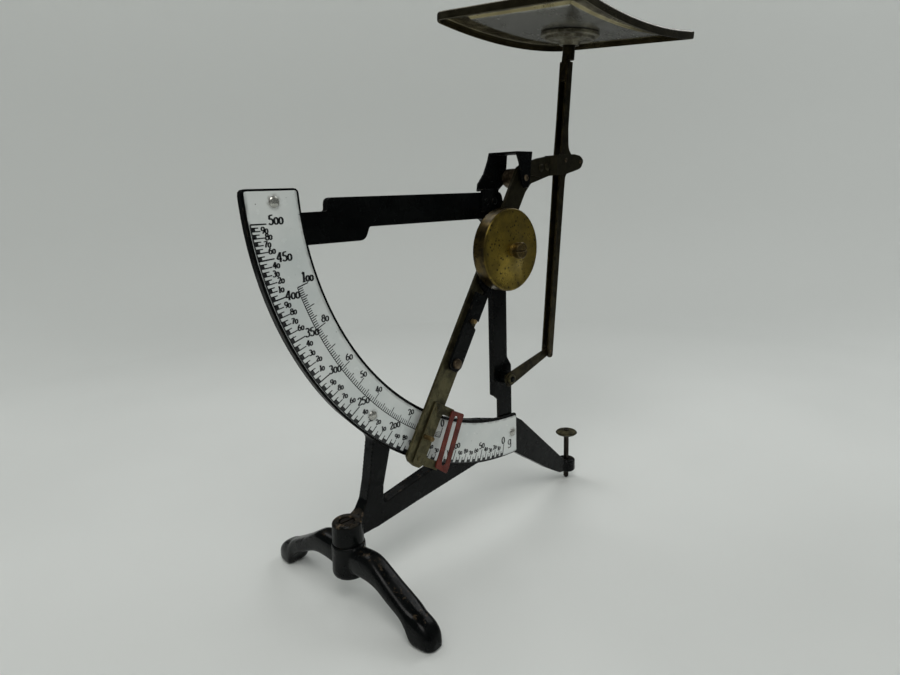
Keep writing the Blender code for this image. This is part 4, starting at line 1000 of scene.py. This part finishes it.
def backdrop_paper():
    f = Finish("studio_paper")
    floor = f.mix(f.span(f.noise(6, 2), 0.3, 0.7), (0.73, 0.745, 0.73), (0.76, 0.775, 0.76))
    high = f.offset((0, 0, 0), 2)
    # Painted shade: the floor darkens towards the back right (+X and +Y).
    away = f.math("ADD", f.offset((0, 0, 0), 0), f.offset((0, 0, 0), 1))
    floor = f.mix(f.span(away, 0.15, 0.75), floor, (0.61, 0.625, 0.61))
    # Painted shade makes the wall darker than the floor from 0.16 m up, and painted light lightens it again
    # between 0.3 and 0.75 m.
    base = f.mix(f.span(high, 0.0, 0.16), floor, (0.575, 0.59, 0.575))
    base = f.mix(f.span(high, 0.3, 0.75), base, (0.68, 0.695, 0.68))
    return f.surface(base, 0.75, 0.0, None, 0.0, 0.1, 0.2)


def area_light(name, place, size, energy, colour=(1, 1, 1)):
    light = bpy.data.lights.new(name, "AREA")
    light.shape = "DISK"
    light.size = size
    light.energy = energy
    light.color = colour
    obj = bpy.data.objects.new(name, light)
    bpy.context.scene.collection.objects.link(obj)
    obj.location = place
    aim = Vector((0.0, 0.0, 0.12)) - obj.location
    obj.rotation_mode = "QUATERNION"
    obj.rotation_quaternion = aim.to_track_quat("-Z", "Y")


def lights():
    world = bpy.data.worlds.new("studio")
    world.use_nodes = True
    world.node_tree.nodes["Background"].inputs["Color"].default_value = (0.80, 0.83, 0.82, 1)
    world.node_tree.nodes["Background"].inputs["Strength"].default_value = 0.085
    bpy.context.scene.world = world
    area_light("key", (-0.55, -0.55, 1.25), 0.75, 6.2, (1.0, 0.995, 0.97))
    area_light("side", (0.95, -0.10, 0.95), 0.7, 3.1, (0.97, 0.99, 1.0))
    area_light("back", (0.05, 0.80, 1.30), 0.8, 3.8, (0.99, 1.0, 0.99))


CAMERA_YAW = 43.76         # degrees from +Y towards +X
CAMERA_PITCH = -13.19
CAMERA_ROLL = -1.94
CAMERA_LENS = 24.94        # mm, on a 36 mm wide sensor
CAMERA_PLACE = Vector((-0.215860, -0.204326, 0.169946))


def camera():
    yaw = math.radians(CAMERA_YAW)
    pitch = math.radians(CAMERA_PITCH)
    roll = math.radians(CAMERA_ROLL)
    ahead = Vector((math.sin(yaw) * math.cos(pitch), math.cos(yaw) * math.cos(pitch),
                    math.sin(pitch)))
    level = Vector((math.cos(yaw), -math.sin(yaw), 0.0))
    upright = level.cross(ahead)
    right = level * math.cos(roll) + upright * math.sin(roll)
    up = upright * math.cos(roll) - level * math.sin(roll)
    data = bpy.data.cameras.new("camera")
    data.sensor_width = 36.0
    data.lens = CAMERA_LENS
    data.clip_start = 0.01
    data.clip_end = 20.0
    obj = bpy.data.objects.new("camera", data)
    bpy.context.scene.collection.objects.link(obj)
    obj.matrix_world = Matrix((
        (right.x, up.x, -ahead.x, CAMERA_PLACE.x),
        (right.y, up.y, -ahead.y, CAMERA_PLACE.y),
        (right.z, up.z, -ahead.z, CAMERA_PLACE.z),
        (0.0, 0.0, 0.0, 1.0)))
    bpy.context.scene.camera = obj


def main():
    scene = bpy.context.scene
    scene.view_settings.view_transform = "Standard"
    scene.view_settings.look = "None"
    slots = finish_nodes()
    dial_print(print_ink())
    pan_plate(slots["plated_pan"])
    foot_casting(slots["cast_black"])
    backdrop()
    lights()
    camera()


main()
